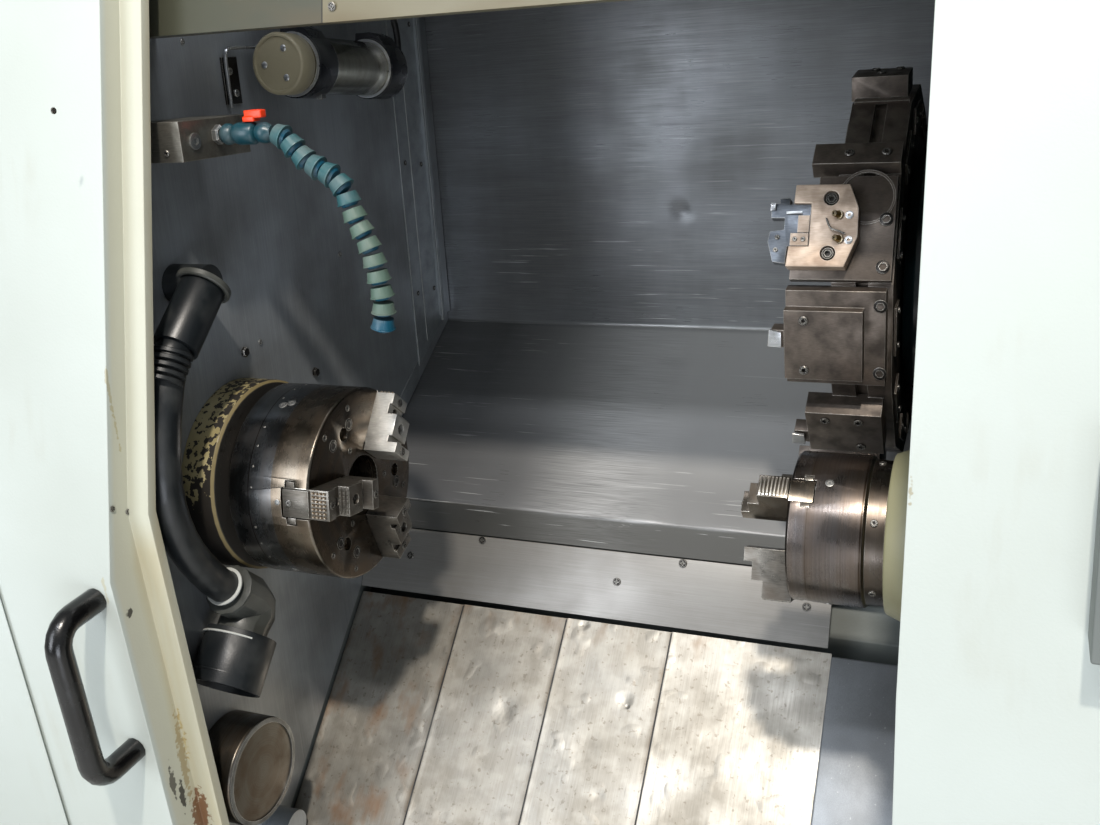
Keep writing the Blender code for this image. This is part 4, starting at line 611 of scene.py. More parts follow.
def hammered_sheet(name):
    """Brushed sheet: dull above, scratched low down by chips, near white low down to the right as
    partly polish and partly painted light, with a painted highlight streak, darker towards its lip.
    """
    made, tree, shader, place = new_finish(name, "85868a", 0.30, metallic=0.6)
    x, y, z = from_chuck(tree, place)
    brush = clouds(tree, place, 1.2, 0.25, 0.75, stretch=(60, 1, 1), detail=2.0)
    bands = clouds(tree, place, 16, 0.35, 0.65, stretch=(14, 1, 1))
    upright = clouds(tree, place, 40, 0.40, 0.60, stretch=(1, 9, 9), detail=3.0)
    blotch = clouds(tree, place, 150, 0.38, 0.66, detail=7.0)
    low = ramp(tree, z, 0.072, 0.060)
    right = ramp(tree, x, -0.06, 0.30)
    # Near white low down and to the right: partly chip polish, partly a painted pool of light.
    worn = both(tree, low, combine(tree, "ADD", both(tree, right, 0.90), 0.10))
    # A bright streak about x = 0.2, low down: a painted highlight, partly polish.
    aside = maths(tree, "ABSOLUTE", maths(tree, "SUBTRACT", x, 0.200))
    painted_highlight_and_polish = ramp(tree, aside, 0.15, 0.0, interpolation_type="SMOOTHSTEP")
    lines = clouds(tree, place, 3.2, 0.66, 0.70, stretch=(45, 1, 1))
    few = clouds(tree, place, 120, 0.42, 0.60, detail=2.0)
    lowly = between(tree, ramp(tree, z, 0.30, 0.06), 0.12, 0.75)
    colour = blend(tree, between(tree, brush, 0.2, 0.8), linear("868a8c"), linear("5d5f62"))
    colour = layered(
        tree, colour, (upright, "86878c", 0.20), (bands, "5b5d61", 0.3), (blotch, "4a4844", 0.35),
        (worn, "dcdcda", 1), (ramp(tree, z, 0.070, -0.120), "67686a", 0.70),
        (both(tree, painted_highlight_and_polish, brush, low), "eceded", 0.75),
        (ramp(tree, z, -0.147, -0.151), "45443f", 0.8),
        (both(tree, lines, few, lowly), "dedfdd", 1))
    paint_surface(tree, shader, colour, between(tree, mean(tree, brush, 0.35, blotch), 0.26, 0.44))
    tree.links.new(between(tree, worn, 0.62, 0.35), shader.inputs["Metallic"])
    wavy = clouds(tree, place, 260, 0.2, 0.8, detail=1.0)
    relief(tree, shader, brush, 0.05, relief(tree, shader, wavy, 2.5))
    return made


COVER_PATH = [(0.64, 0.70), (0.64, 0.0663), (0.294, -0.150), (0.294, -0.200)]
cover = folded_sheet("folded_cover", COVER_PATH, spread(-0.3199, 0.6599, 0.009), 2.5, shield_push,
                     hammered_sheet("hammered_cover_sheet"), carriage_body, ["carriage_shield"])

# The telescopic floor plates.  Worn bright sheet, each plate 2.5 mm under the next one, with a
# hemmed edge and a black wiper where it slides, dented and rust-stained by falling bar ends.
FLOOR_TURN = math.radians(43.7)
FLOOR_SEAMS = (-0.1895, 0.000, 0.178, 0.346, 0.578)
FLOOR_OVERLAP = 0.062
FLOOR_STEP = 0.0025
IN_YZ = Matrix.Translation(CHUCK_FACE) @ Matrix(((0, 0, 1), (1, 0, 0), (0, 1, 0))).to_4x4()


def floor_spot(x, down, lift):
    """A place on the chamber floor: metres down its slope and up from its top plate."""
    return at(x, 0.250 - down * math.cos(FLOOR_TURN) - lift * math.sin(FLOOR_TURN),
              -0.298 - down * math.sin(FLOOR_TURN) + lift * math.cos(FLOOR_TURN))


def add_dents(tree, shader, place, spots, under):
    """Press round dents into the relief: (place, radius in mm, depth in mm) for each."""
    bent = node(tree, "ShaderNodeTexNoise", {"Vector": place, "Scale": 34.0, "Detail": 3.0})
    bent = vector_maths(tree, "SUBTRACT", bent.outputs["Color"], (0.5, 0.5, 0.5))
    place = vector_maths(tree, "MULTIPLY_ADD", bent, (0.016, 0.016, 0.016), place)
    for spot, wide_mm, deep_mm in spots:
        far = vector_maths(tree, "DISTANCE", place, at(*spot))
        hollow = ramp(tree, far, 0.0, wide_mm / 1000, interpolation_type="SMOOTHSTEP")
        under = relief(tree, shader, hollow, deep_mm, under)
    return under


def add_prism(body, outline, low, high, turn, edge_mm=0.0):
    """Add a flat outline of (u, v) points drawn out between two heights."""
    floor = [body.verts.new(turn @ Vector((u, v, low))) for u, v in outline]
    roof = [body.verts.new(turn @ Vector((u, v, high))) for u, v in outline]
    count = len(outline)
    faces = [body.faces.new(list(reversed(floor))), body.faces.new(roof)]
    for k in range(count):
        j = (k + 1) % count
        faces.append(body.faces.new((floor[k], floor[j], roof[j], roof[k])))
    if edge_mm:
        edges = list({edge for face in faces for edge in face.edges})
        bmesh.ops.bevel(body, geom=edges, offset=edge_mm / 1000, segments=2, profile=0.6,
                        affect="EDGES")


def stained_floor(name):
    """Worn bright floor sheet: rust where chips lay wet, grime beside each seam, and dents."""
    made, tree, shader, place = new_finish(name, "b3b0a8", 0.46, metallic=0.85)
    x, y, z = from_chuck(tree, place)
    brush = clouds(tree, place, 1.6, 0.25, 0.75, stretch=(1, 30, 30), detail=2.0)
    blotch = clouds(tree, place, 95, 0.36, 0.66, detail=9.0)
    worn = clouds(tree, place, 26, 0.42, 0.62, detail=6.0)
    specks = clouds(tree, place, 7, 0.62, 0.70, detail=3.0)
    rust = clouds(tree, place, 30, 0.52, 0.72, stretch=(1, 2, 2), detail=8.0)
    near_top = ramp(tree, z, -0.345, -0.300)
    colour = blend(tree, between(tree, brush, 0.2, 0.8), linear("aeaba3"), linear("96928a"))
    colour = layered(tree, colour, (blotch, "8b8579", 0.55), (worn, "d0cdc4", 0.25),
                     (specks, "6f6557", 0.5), (both(tree, rust, near_top), "6d5335", 0.7))
    for seam in FLOOR_SEAMS[1:4]:
        near = ramp(tree, x, seam - 0.011, seam - 0.001)
        under_next = maths(tree, "LESS_THAN", x, seam)
        patchy = between(tree, blotch, 0.3, 1.0)
        colour = layered(tree, colour, (both(tree, near, under_next, patchy), "4b3b28", 1))
    at_left = ramp(tree, x, 0.02, -0.06)
    colour = layered(tree, colour, (both(tree, at_left, rust), "94755a", 0.8))
    paint_surface(tree, shader, colour, between(tree, mean(tree, blotch, 0.7, brush), 0.34, 0.60))
    wavy = clouds(tree, place, 150, 0.2, 0.8, detail=2.0)
    knocks = clouds(tree, place, 34, 0.60, 0.82, detail=1.0)
    under = relief(tree, shader, knocks, 0.7, relief(tree, shader, wavy, 2.2))
    under = add_dents(tree, shader, place, [
        ((right, 0.250 - down * 0.723, -0.298 - down * 0.691), wide, deep)
        for right, down, wide, deep in (
            (0.208, 0.011, 11, 1.0), (0.294, 0.114, 17, 1.3), (0.282, 0.252, 14, 0.9),
            (0.112, 0.157, 24, 1.6), (0.250, 0.190, 30, 0.8), (0.060, 0.330, 22, 0.9),
            (0.420, 0.300, 30, 0.8), (0.150, 0.060, 18, 0.6), (0.118, 0.176, 8, 0.9),
            (0.300, 0.122, 6, 0.8))], under)
    relief(tree, shader, brush, 0.03, under)
    return made


floor_metal = stained_floor("stained_floor_sheet")
wiper_rubber = rubber("wiper_rubber", "1b1b1b", 0.6, 0.5)
for k in range(4):
    left = FLOOR_SEAMS[k]
    right = FLOOR_SEAMS[k + 1] + (FLOOR_OVERLAP if k < 3 else 0)
    under = (3 - k) * FLOOR_STEP
    corners = [(floor_spot(0, down, -under) - CHUCK_FACE).yz for down in (0.004, 0.50)]
    hem = [left, left + 0.0006, left + 0.0010, left + 0.0030, left + 0.0038]

    def plate_push(x, run, left=left):
        hemmed = 0.00007 if 0.0005 < x - left < 0.0035 else 0.0
        return hemmed + noise.noise(Vector((x * 9, run * 9, 4.1))) * 0.00015

    rider = nodes["way_cover_%d" % (k + 1)]["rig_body"]
    made = folded_sheet("floor_plate_%d" % (k + 1), corners,
                        hem + spread(left + 0.012, right, 0.018), 1.9, plate_push, floor_metal,
                        rider, ["way_cover_%d" % (k + 1)], 18.0)
    if k:
        shape = bmesh.new()
        slope = [(floor_spot(0, down, -under + lift) - CHUCK_FACE).yz
                 for down, lift in ((0.006, 0.0002), (0.498, 0.0002), (0.498, -0.0023),
                                    (0.006, -0.0023))]
        add_prism(shape, slope, left - 0.0024, left - 0.0001, IN_YZ)
        piece("floor_wiper_%d" % (k + 1), shape, wiper_rubber, rider)

# The left wall's fittings: a screwed cover strip up the rear corner, a trim along the slope, a
# few bolts and plugged holes.  Thin sheet and black or zinc screws.
WALL_X = -0.1899
STRIP_X = -0.1880
TO_RIGHT = (1, 0, 0)
TO_LEFT = (-1, 0, 0)
trim_steel = ground_steel("edge_worn_and_glinting_trim_steel", "a3a9ad", "8b9195", 0.40, 0.15, "55585a",
                          metal=0.6)
shape = bmesh.new()
for outline, near, far, edge_mm in (
        ([(0.512, 0.012), (0.616, 0.076), (0.616, 0.700), (0.512, 0.700)], WALL_X, STRIP_X, 0.4),
        ([(0.606, 0.074), (0.616, 0.080), (0.616, 0.700), (0.606, 0.700)], STRIP_X, -0.1830, 0.8),
        ([(0.548, 0.050), (0.552, 0.050), (0.552, 0.700), (0.548, 0.700)], STRIP_X, -0.1872, 0.2),
        ([(0.306, -0.137), (0.300, -0.108), (0.508, 0.022), (0.508, -0.011)], WALL_X, -0.1884,
         0.3)):
    add_prism(shape, outline, near, far, IN_YZ, edge_mm)
piece("corner_strip", shape, trim_steel, base)


def on_wall(x, *spots):
    """Places (y, z) on a plane of the left wall, each facing into the chamber."""
    return [(at(x, y, z), TO_RIGHT) for y, z in spots]


screws("corner_screws", cross_screw, (4.4, 1.6, 4.4, 1.1),
       on_wall(-0.1884, (0.529, 0.366), (0.585, 0.358), (0.5305, 0.140), (0.591, 0.137),
               (0.531, 0.590), (0.587, 0.590)), black_oxide, base)
screws("wall_bolts", hex_bolt, (7.5, 5.0, 0.1, 0.05),
       on_wall(WALL_X, (0.036, 0.162), (0.195, 0.089)), black_oxide, base)
screws("wall_plugs", cap_screw, (4.0, 1.5, 3.0, 1.0),
       on_wall(WALL_X, (0.074, 0.1665), (0.004, 0.568), (0.300, 0.250), (0.340, 0.520)),
       zinc_plate, base)

# The spindle, its painted seal ring, the power chuck and its jaws.  Hardened alloy steel, turned
# and ground all over, so light runs round it in rings, with oil-brown tones and rust in places.


def turned_steel(name, light, dark, roughness, centre, ring_mm, stain, tint="5b4a38", bands=()):
    """Turned and ground steel: rings about the X axis, oil stains, tinted bands along X."""
    made, tree, shader, place = new_finish(name, light, roughness, metallic=1.0)
    moved = node(tree, "ShaderNodeMapping", {"Vector": place, "Location": [-c for c in centre]})
    x, y, z = node(tree, "ShaderNodeSeparateXYZ", {"Vector": moved.outputs["Vector"]}).outputs
    flat = node(tree, "ShaderNodeCombineXYZ", {"X": 0.0, "Y": y, "Z": z}).outputs["Vector"]
    radius = vector_maths(tree, "LENGTH", flat)
    rings = node(tree, "ShaderNodeCombineXYZ", {"X": x, "Y": radius, "Z": 0.0}).outputs["Vector"]
    cut = clouds(tree, rings, ring_mm, 0.30, 0.70, detail=3.0)
    wide = clouds(tree, rings, 18, 0.40, 0.60, detail=2.0)
    blotch = clouds(tree, place, 35, 0.42, 0.70, detail=7.0)
    specks = clouds(tree, place, 4, 0.66, 0.74, detail=3.0)
    colour = blend(tree, between(tree, cut, 0.1, 0.9), linear(light), linear(dark))
    for low, high, shade, strength in bands:
        inside = both(tree, ramp(tree, x, low, low + 0.0006), ramp(tree, x, high + 0.0006, high))
        colour = layered(tree, colour, (inside, shade, strength))
    # The pale edge colour is partly wear and partly a painted highlight.
    colour = layered(tree, colour, (wide, tint, 0.30), (blotch, tint, stain),
                     (specks, "2a211a", 0.35), (edge_wear_and_glint(tree, 1.0, 0.999, 0.93), "d6d3ca", 0.7))
    paint_surface(tree, shader, colour, between(tree, mean(tree, cut, 0.35, blotch),
                                                roughness - 0.07, roughness + 0.16))
    relief(tree, shader, cut, 0.02)
    return made


def chipped_ring_paint():
    """Cream paint on the seal ring, chipped to black where coolant and chips strike its front."""
    made, tree, shader, place = new_finish("chipped_ring_paint", "a89d74", 0.5, ior=1.52)
    x, y, z = from_chuck(tree, place)
    front = ramp(tree, x, -0.190, -0.138)
    low = ramp(tree, z, 0.06, -0.10)
    ragged = clouds(tree, place, 8, 0.25, 0.75, detail=12.0)
    patchy = clouds(tree, place, 45, 0.30, 0.70, detail=3.0)
    pull = combine(tree, "ADD", both(tree, front, 0.26), both(tree, low, 0.30))
    torn = combine(tree, "ADD", both(tree, ragged, 0.44), both(tree, patchy, 0.22))
    bare = ramp(tree, combine(tree, "ADD", torn, pull), 0.415, 0.43)
    tone = clouds(tree, place, 60, 0.30, 0.70)
    around = node(tree, "ShaderNodeCombineXYZ", {"X": 0.0, "Y": y, "Z": z}).outputs["Vector"]
    lip = ramp(tree, x, -0.1446, -0.1440)
    rim = ramp(tree, vector_maths(tree, "LENGTH", around), 0.1262, 0.1270)
    colour = blend(tree, tone, linear("a79d78"), linear("8e8259"))
    colour = layered(tree, colour, (bare, "211d18", 1), (lip, "1c1a17", 1),
                     (both(tree, lip, rim), "857750", 0.8))
    paint_surface(tree, shader, colour, between(tree, bare, 0.38, 0.62))
    relief(tree, shader, bare, -0.12)
    return made


def tooth_grid(name):
    """Nodes for a field of small pointed teeth, its place and turn given as inputs."""
    tree, given = begin_tree(name, Vector=("Place", "Turn"), Int=("Columns", "Rows"), Float=(
        "Across", "Along", "Tooth width", "Tooth length", "Tooth height"))
    field = node(tree, "GeometryNodeMeshGrid", {
        "Size X": given["Across"], "Size Y": given["Along"], "Vertices X": given["Columns"],
        "Vertices Y": given["Rows"]}).outputs["Mesh"]
    cone = node(tree, "GeometryNodeMeshCone", {"Vertices": 4, "Radius Bottom": 0.7071,
                                               "Radius Top": 0.36, "Depth": 1.0}).outputs["Mesh"]
    squared = node(tree, "GeometryNodeTransform", {"Geometry": cone,
                                                   "Rotation": (0, 0, math.radians(45))}).outputs[0]
    size = node(tree, "ShaderNodeCombineXYZ", {
        "X": given["Tooth width"], "Y": given["Tooth length"],
        "Z": given["Tooth height"]}).outputs[0]
    tooth = node(tree, "GeometryNodeTransform", {"Geometry": squared, "Scale": size}).outputs[0]
    many = node(tree, "GeometryNodeInstanceOnPoints", {"Points": field, "Instance": tooth})
    placed = node(tree, "GeometryNodeTransform", {"Geometry": many.outputs[0],
                                                  "Translation": given["Place"],
                                                  "Rotation": given["Turn"]}).outputs[0]
    return end_tree(tree, given, placed)


def radial(degrees, reach, along, face=0.0):
    """A place on a chuck: angle, distance from its axis, and metres in front of its face."""
    a = math.radians(degrees)
    return at(face + along, -math.cos(a) * reach, math.sin(a) * reach)


def outward(degrees):
    """The direction straight out from the spindle axis at an angle."""
    return Vector((0, -math.cos(math.radians(degrees)), math.sin(math.radians(degrees))))


CHUCK_BANDS = ((-0.120, -0.055, "7f858a", 0.75), (-0.0895, -0.0883, "1d1a17", 0.9),
               (-0.055, -0.003, "7b6f5f", 0.50), (-0.0012, 0.002, "2a2520", 0.80))
chuck_steel = turned_steel("ground_chuck_steel", "7f7a72", "645f58", 0.25, CHUCK_FACE, 0.9, 0.28,
                           bands=CHUCK_BANDS)
jaw_steel = ground_steel("ground_jaw_steel", "75716a", "5b5852", 0.32, 0.45)
# A lighter copy of the jaw steel: painted light for the jaw that stands in full light.
painted_lit_jaw_steel = ground_steel("painted_lit_jaw_steel", "c2c1bb", "a8a6a0", 0.40, 0.25)
# Tan teeth: an oil tint together with a painted highlight.
glinting_tooth_tan = ground_steel("oiled_and_glinting_tooth_steel", "9a8264", "7c684d", 0.35, 0.4, "4a3a2a")
refined("main_spindle", 0.8, chuck_steel)
refined("nose_ring", 1.0, chipped_ring_paint())
refined("main_chuck", 0.7, chuck_steel)
spindle_body = nodes["main_chuck"]["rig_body"]
RIM_R = 0.1268
JAW_ANGLES = (8, 128, 248)
GAP_ANGLES = (68, 188, 308)


def on_face(*spots):
    """Places on the chuck's face, between its jaws: (turn, distance from the axis, depth)."""
    return [(radial(gap + turn, reach, along), TO_RIGHT)
            for gap in GAP_ANGLES for turn, reach, along in spots]


def on_rim(*spots):
    """Places on the chuck's rim: (angle, metres in front of its face)."""
    return [(radial(angle, RIM_R, along), outward(angle)) for angle, along in spots]


for name, sizes_mm, spots, finish in (
        ("chuck_face_holes", (8.2, 0.9, 9.5, 0.75), on_face((11, 0.0885, 0), (-17, 0.0915, 0)),
         black_oxide),
        ("chuck_small_screws", (4.2, 0.8, 4.4, 0.7),
         on_face((14, 0.1095, 0), (-18, 0.1140, 0), (0, 0.0560, 0)), black_oxide),
        ("chuck_face_bolts", (8.0, 6.0, 7.0, 4.0), on_face((0, 0.0838, -0.0155)), black_oxide),
        ("chuck_side_plugs", (5.4, 1.1, 4.6, 0.9),
         on_rim((70.7, -0.065), (68.3, -0.075), (190.7, -0.065), (188.3, -0.075),
                (310.7, -0.065)), zinc_plate),
        ("chuck_ball_oilers", (3.6, 0.8, 2.2, 0.5),
         on_rim(*((angle, -0.0450) for angle in JAW_ANGLES)), zinc_plate),
        ("chuck_balance_marks", (1.5, 0.35, 1.2, 0.3),
         on_rim(*((12 * k + 3, -0.0835) for k in range(30) if k % 5)), black_oxide)):
    screws(name, cap_screw, sizes_mm, spots, finish, spindle_body)
teeth = tooth_grid("jaw_serration")


def jaw_place(degrees, face=0.0):
    """A jaw's own axes on a chuck: x along the spindle, y straight out and z across."""
    out = outward(degrees)
    turn = Matrix((Vector(TO_RIGHT), out, Vector(TO_RIGHT).cross(out))).transposed().to_4x4()
    return Matrix.Translation(at(face, 0, 0)) @ turn


def jaw_teeth(name, degrees, spot, field, tooth, counts, finish, rider):
    """A field of teeth that point straight out from the chuck: its size and a tooth's size."""
    out = outward(degrees)
    turn = Matrix((Vector(TO_RIGHT).cross(out), -Vector(TO_RIGHT), out)).transposed()
    sizes = {"Place": spot, "Turn": turn.to_euler(), "Across": field[0], "Along": field[1],
             "Tooth width": tooth[0], "Tooth length": tooth[1], "Tooth height": tooth[2],
             "Columns": counts[0], "Rows": counts[1]}
    planted(name, teeth, sizes, [(Vector(), Vector((0, 0, 1)))], finish, rider)


def add_block(body, low, high, turn, edge_mm):
    """Add a block with rounded edges between two corners, turned as a whole if asked."""
    low = Vector(low)
    high = Vector(high)
    place = Matrix.Translation((low + high) / 2) @ Matrix.Diagonal((*(high - low), 1.0))
    made = bmesh.ops.create_cube(body, size=1.0, matrix=(turn or Matrix()) @ place)
    edges = list({edge for vert in made["verts"] for edge in vert.link_edges})
    bmesh.ops.bevel(body, geom=edges, offset=edge_mm / 1000, segments=2, profile=0.6,
                    affect="EDGES")


def block_piece(name, finish, rider, place, *blocks):
    """A piece of blocks: (low corner, high corner, edge in mm) for each, on the given axes."""
    shape = bmesh.new()
    for low, high, edge_mm in blocks:
        add_block(shape, low, high, place, edge_mm)
    piece(name, shape, finish, rider)


for k, angle in enumerate(JAW_ANGLES):
    name = "main_jaw_%d" % (k + 1)
    rider = nodes[name]["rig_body"]
    # The second jaw takes the lighter copy, as painted light.
    metal = painted_lit_jaw_steel if k == 1 else jaw_steel
    refined(name, 0.6, metal)
    block_piece(name + "_tee", jaw_steel, rider, jaw_place(angle),
                ((-0.0328, 0.056, -0.0270), (-0.0212, 0.1240, -0.0192), 0.6),
                ((-0.0328, 0.056, 0.0192), (-0.0212, 0.1240, 0.0270), 0.6),
                ((-0.0380, 0.1215, -0.0174), (-0.0004, 0.1252, 0.0174), 0.8))
    for part, sizes_mm, facing, spots in (
            ("_ball_oiler", (4.4, 0.8, 4.6, 0.7), outward(angle), ((0.1256, -0.0300),)),
            ("_top_screws", (5.6, 2.6, 5.0, 2.2), TO_RIGHT, ((0.1145, 0.0258), (0.0470, 0.0468))),
            ("_clamp_screws", (5.7, 5.5, 5.0, 3.5), TO_RIGHT, ((0.078, 0.0285), (0.100, 0.0145)))):
        screws(name + part, cap_screw, sizes_mm,
               [(radial(angle, reach, along), facing) for reach, along in spots],
               black_oxide, rider)
    jaw_teeth(name + "_outer_teeth", angle, radial(angle, 0.1226, 0.0132), (0.0300, 0.0165),
              (0.0034, 0.0042, 0.0022), (7, 4), glinting_tooth_tan, rider)
    jaw_teeth(name + "_step_teeth", angle, radial(angle, 0.0936, 0.0305), (0.030, 0.0110),
              (0.0042, 0.0026, 0.0012), (7, 3), metal, rider)

# The belt drive at the left end.  A black rubber belt runs over the turned steel pulleys of the
# motor and the spindle.
refined("motor_pulley", 0.8, chuck_steel)
refined("drive_belt", 0.5, rubber("belt_rubber", "151515", 0.6, 0.3))

# The sub spindle: saddle, cream painted head, chuck and jaws, facing the main spindle.  A smaller
# copy of the main chuck, bolted through an adapter ring, its head sprayed with cream enamel.
SUB_FACE_X = 0.573
SUB_BANDS = ((SUB_FACE_X + 0.0765, SUB_FACE_X + 0.0785, "1a1715", 0.9),
             (SUB_FACE_X + 0.0205, SUB_FACE_X + 0.0215, "3a342c", 0.7),
             (SUB_FACE_X + 0.0785, SUB_FACE_X + 0.103, "6a6053", 0.4))
head_paint = enamel("stained_cream_enamel", "8a896f", "787556", 0.42, 5, 0.8)
sub_steel = turned_steel("ground_sub_chuck_steel", "6d6866", "575250", 0.28, CHUCK_FACE, 0.8, 0.25,
                         bands=SUB_BANDS)
saddle_sheet = brushed_sheet("blue_grey_saddle_sheet", "8d9296", "787d82", 0.40, "y", 0.35, 0.20)
refined("sub_saddle", 0.8, saddle_sheet)
refined("sub_headstock", 2.5, head_paint, segments=3)
refined("sub_chuck", 0.6, sub_steel)
sub_body = nodes["sub_chuck"]["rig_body"]
screws("sub_face_bolts", cap_screw, (5.2, 5.0, 5.0, 3.0),
       [(radial(110 + 120 * k, 0.0558, 0.0140, SUB_FACE_X), TO_LEFT) for k in range(3)],
       black_oxide, sub_body)
screws("sub_side_sockets", cap_screw, (4.6, 0.9, 4.2, 0.7),
       [(radial(57.5 + 120 * k, 0.0843, 0.019 + 0.022, SUB_FACE_X), outward(57.5 + 120 * k))
        for k in range(3)], zinc_plate, sub_body)
screws("sub_adapter_bolts", cap_screw, (4.0, 2.2, 4.0, 1.8),
       [(radial(30 + 60 * k, 0.0803, 0.0905, SUB_FACE_X), outward(30 + 60 * k))
        for k in range(6)], black_oxide, sub_body)
for k in range(3):
    angle = 50 + 120 * k
    name = "sub_jaw_%d" % (k + 1)
    rider = nodes[name]["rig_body"]
    refined(name, 0.5, jaw_steel if k else chuck_steel)
    block_piece(name + "_tee", jaw_steel, rider, jaw_place(angle, SUB_FACE_X),
                ((0.0138, 0.038, -0.0192), (0.0229, 0.0822, -0.0134), 0.5),
                ((0.0138, 0.038, 0.0134), (0.0229, 0.0822, 0.0192), 0.5))
    for part, sizes_mm, spots in (
            ("_top_screw", (4.6, 2.4, 4.2, 2.0), ((0.0380, -0.0562),)),
            ("_clamp_screws", (4.6, 4.5, 4.2, 3.0), ((0.056, -0.0420), (0.077, -0.0290)))):
        screws(name + part, cap_screw, sizes_mm,
               [(radial(angle, reach, along, SUB_FACE_X), TO_LEFT) for reach, along in spots],
               black_oxide, rider)
    jaw_teeth(name + "_teeth", angle, radial(angle, 0.0874, -0.0170, SUB_FACE_X), (0.020, 0.028),
              (0.0230, 0.0022, 0.0013), (1, 8), jaw_steel, rider)

# The turret: carriage, green housing and twelve-sided disc with its holders.  Oil-brown alloy
# steel, ground, with socket screws at every station; the housing has glossy dark green enamel.
disc_steel = ground_steel("oily_disc_steel", "665d55", "564e47", 0.36, 0.6, "14100d", 0.5, 0.6)
tan_steel = ground_steel("tan_block_steel", "c7b5a3", "b39f8c", 0.42, 0.5, "5d432f", 0.9, 0.35)
tool_steel = ground_steel("grey_tool_steel", "6f757c", "575c63", 0.34, 0.3, "2a2927")
silver_steel = ground_steel("silver_tool_steel", "b5b8bb", "9c9fa2", 0.30, 0.2, "54504a")
brass = ground_steel("nozzle_brass", "8a7444", "6f5c34", 0.34, 0.3, "3f3420")
refined("carriage", 1.0, teal_paint)
refined("turret_slide", 2.0, teal_paint)
refined("turret_disc", 0.7, disc_steel)
refined("tool_block", 1.2, tan_steel)
refined("cutting_tool", 0.4, tool_steel)
turret_body = nodes["turret_disc"]["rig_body"]
TURRET_FAR = 0.425
TURRET_UP = math.radians(31)
TURRET_AXIS = at(0, TURRET_FAR * math.cos(TURRET_UP), TURRET_FAR * math.sin(TURRET_UP))
FLAT = 0.236


def add_turned(body, profile, start, axis, steps=40):
    """Add a turned shape: points of (distance along the axis, radius), closed on themselves."""
    axis = Vector(axis).normalized()
    side = axis.orthogonal().normalized()
    up = axis.cross(side)
    rows = []
    for along, radius in profile:
        centre = Vector(start) + axis * along
        if radius == 0:
            rows.append([body.verts.new(centre)] * steps)
            continue
        turns = [2 * math.pi * k / steps for k in range(steps)]
        rows.append([body.verts.new(centre + (side * math.cos(a) + up * math.sin(a)) * radius)
                     for a in turns])
    pairs = list(zip(rows, rows[1:]))
    if profile[0][1] > 0:
        pairs.append((rows[-1], rows[0]))
    for first, second in pairs:
        for k in range(steps):
            j = (k + 1) % steps
            corners = []
            for vert in (first[k], first[j], second[j], second[k]):
                if vert not in corners:
                    corners.append(vert)
            if len(corners) > 2:
                body.faces.new(corners)


def station(index):
    """A turret station's own axes: x, along the flat, and straight out from the turret's axis."""
    theta = math.radians(23 - 30 * index)
    out = Vector((0, -math.cos(theta), math.sin(theta)))
    tangent = Vector((0, math.sin(theta), math.cos(theta)))
    turn = Matrix((Vector(TO_RIGHT), tangent, out)).transposed().to_4x4()
    return Matrix.Translation(TURRET_AXIS) @ turn


def on_station(index, x, along, rise):
    """A place on a station: x, metres along the flat, and metres above it."""
    return station(index) @ Vector((x, along, FLAT + rise))


def facing_of(index):
    """The direction straight out from a station."""
    return station(index).to_3x3() @ Vector((0, 0, 1))


free = [(on_station(k, x, t, -0.0006), facing_of(k)) for k in range(4, 10)
        for x, t in ((0.600, 0.040), (0.645, 0.040), (0.600, -0.040), (0.645, -0.040))]
screws("station_screws", cap_screw, (6.0, 3.0, 6.0, 2.4), free, black_oxide, turret_body)
held = [(on_station(k, x, t, rise), facing_of(k)) for k, x, t, rise in (
    (-2, 0.615, 0.000, 0.0256), (-2, 0.605, 0.026, 0.0256), (-2, 0.635, 0.026, 0.0256),
    (-1, 0.598, -0.043, 0.0176), (-1, 0.640, -0.043, 0.0176),
    (1, 0.560, 0.028, 0.0296), (1, 0.560, -0.034, 0.0296),
    (2, 0.580, 0.026, 0.0276), (2, 0.620, 0.026, 0.0276), (2, 0.620, -0.026, 0.0276),
    (3, 0.570, 0.030, 0.0296), (3, 0.610, -0.030, 0.0296))]
screws("holder_screws", cap_screw, (5.6, 2.6, 5.6, 2.2), held, black_oxide, turret_body)
large = [(on_station(k, 0.645, t, rise), facing_of(k)) for k, t, rise in (
    (0, 0.010, 0.0096), (0, -0.045, 0.0096), (1, 0.043, 0.0156), (1, -0.040, 0.0156))]
screws("base_plate_screws", cap_screw, (7.8, 2.6, 8.0, 2.4), large, black_oxide, turret_body)
shape = bmesh.new()
add_turned(shape, [(0, 0.0285), (0, 0.0325), (0.0012, 0.0318), (0.0012, 0.0292)],
           on_station(0, 0.622, 0.036, 0.0095), facing_of(0), 48)
add_block(shape, (0.590, 0.062, 0.2352), (0.655, 0.068, 0.2400), station(-1), 0.6)
for k in range(12):
    add_block(shape, (0.6572, -0.0300, 0.190), (0.6600, 0.0300, 0.222), station(k), 0.8)
    add_block(shape, (0.5842, -0.0420, 0.150), (0.5869, 0.0420, 0.226), station(k), 0.8)
piece("turret_side_plates", shape, disc_steel, turret_body)
screws("side_plate_screws", cap_screw, (4.6, 2.4, 4.6, 2.0),
       [(on_station(k, x, t, -0.030), (side, 0, 0)) for k in range(12)
        for x, side in ((0.6599, 1), (0.5843, -1)) for t in (-0.022, 0.022)], black_oxide,
       turret_body)

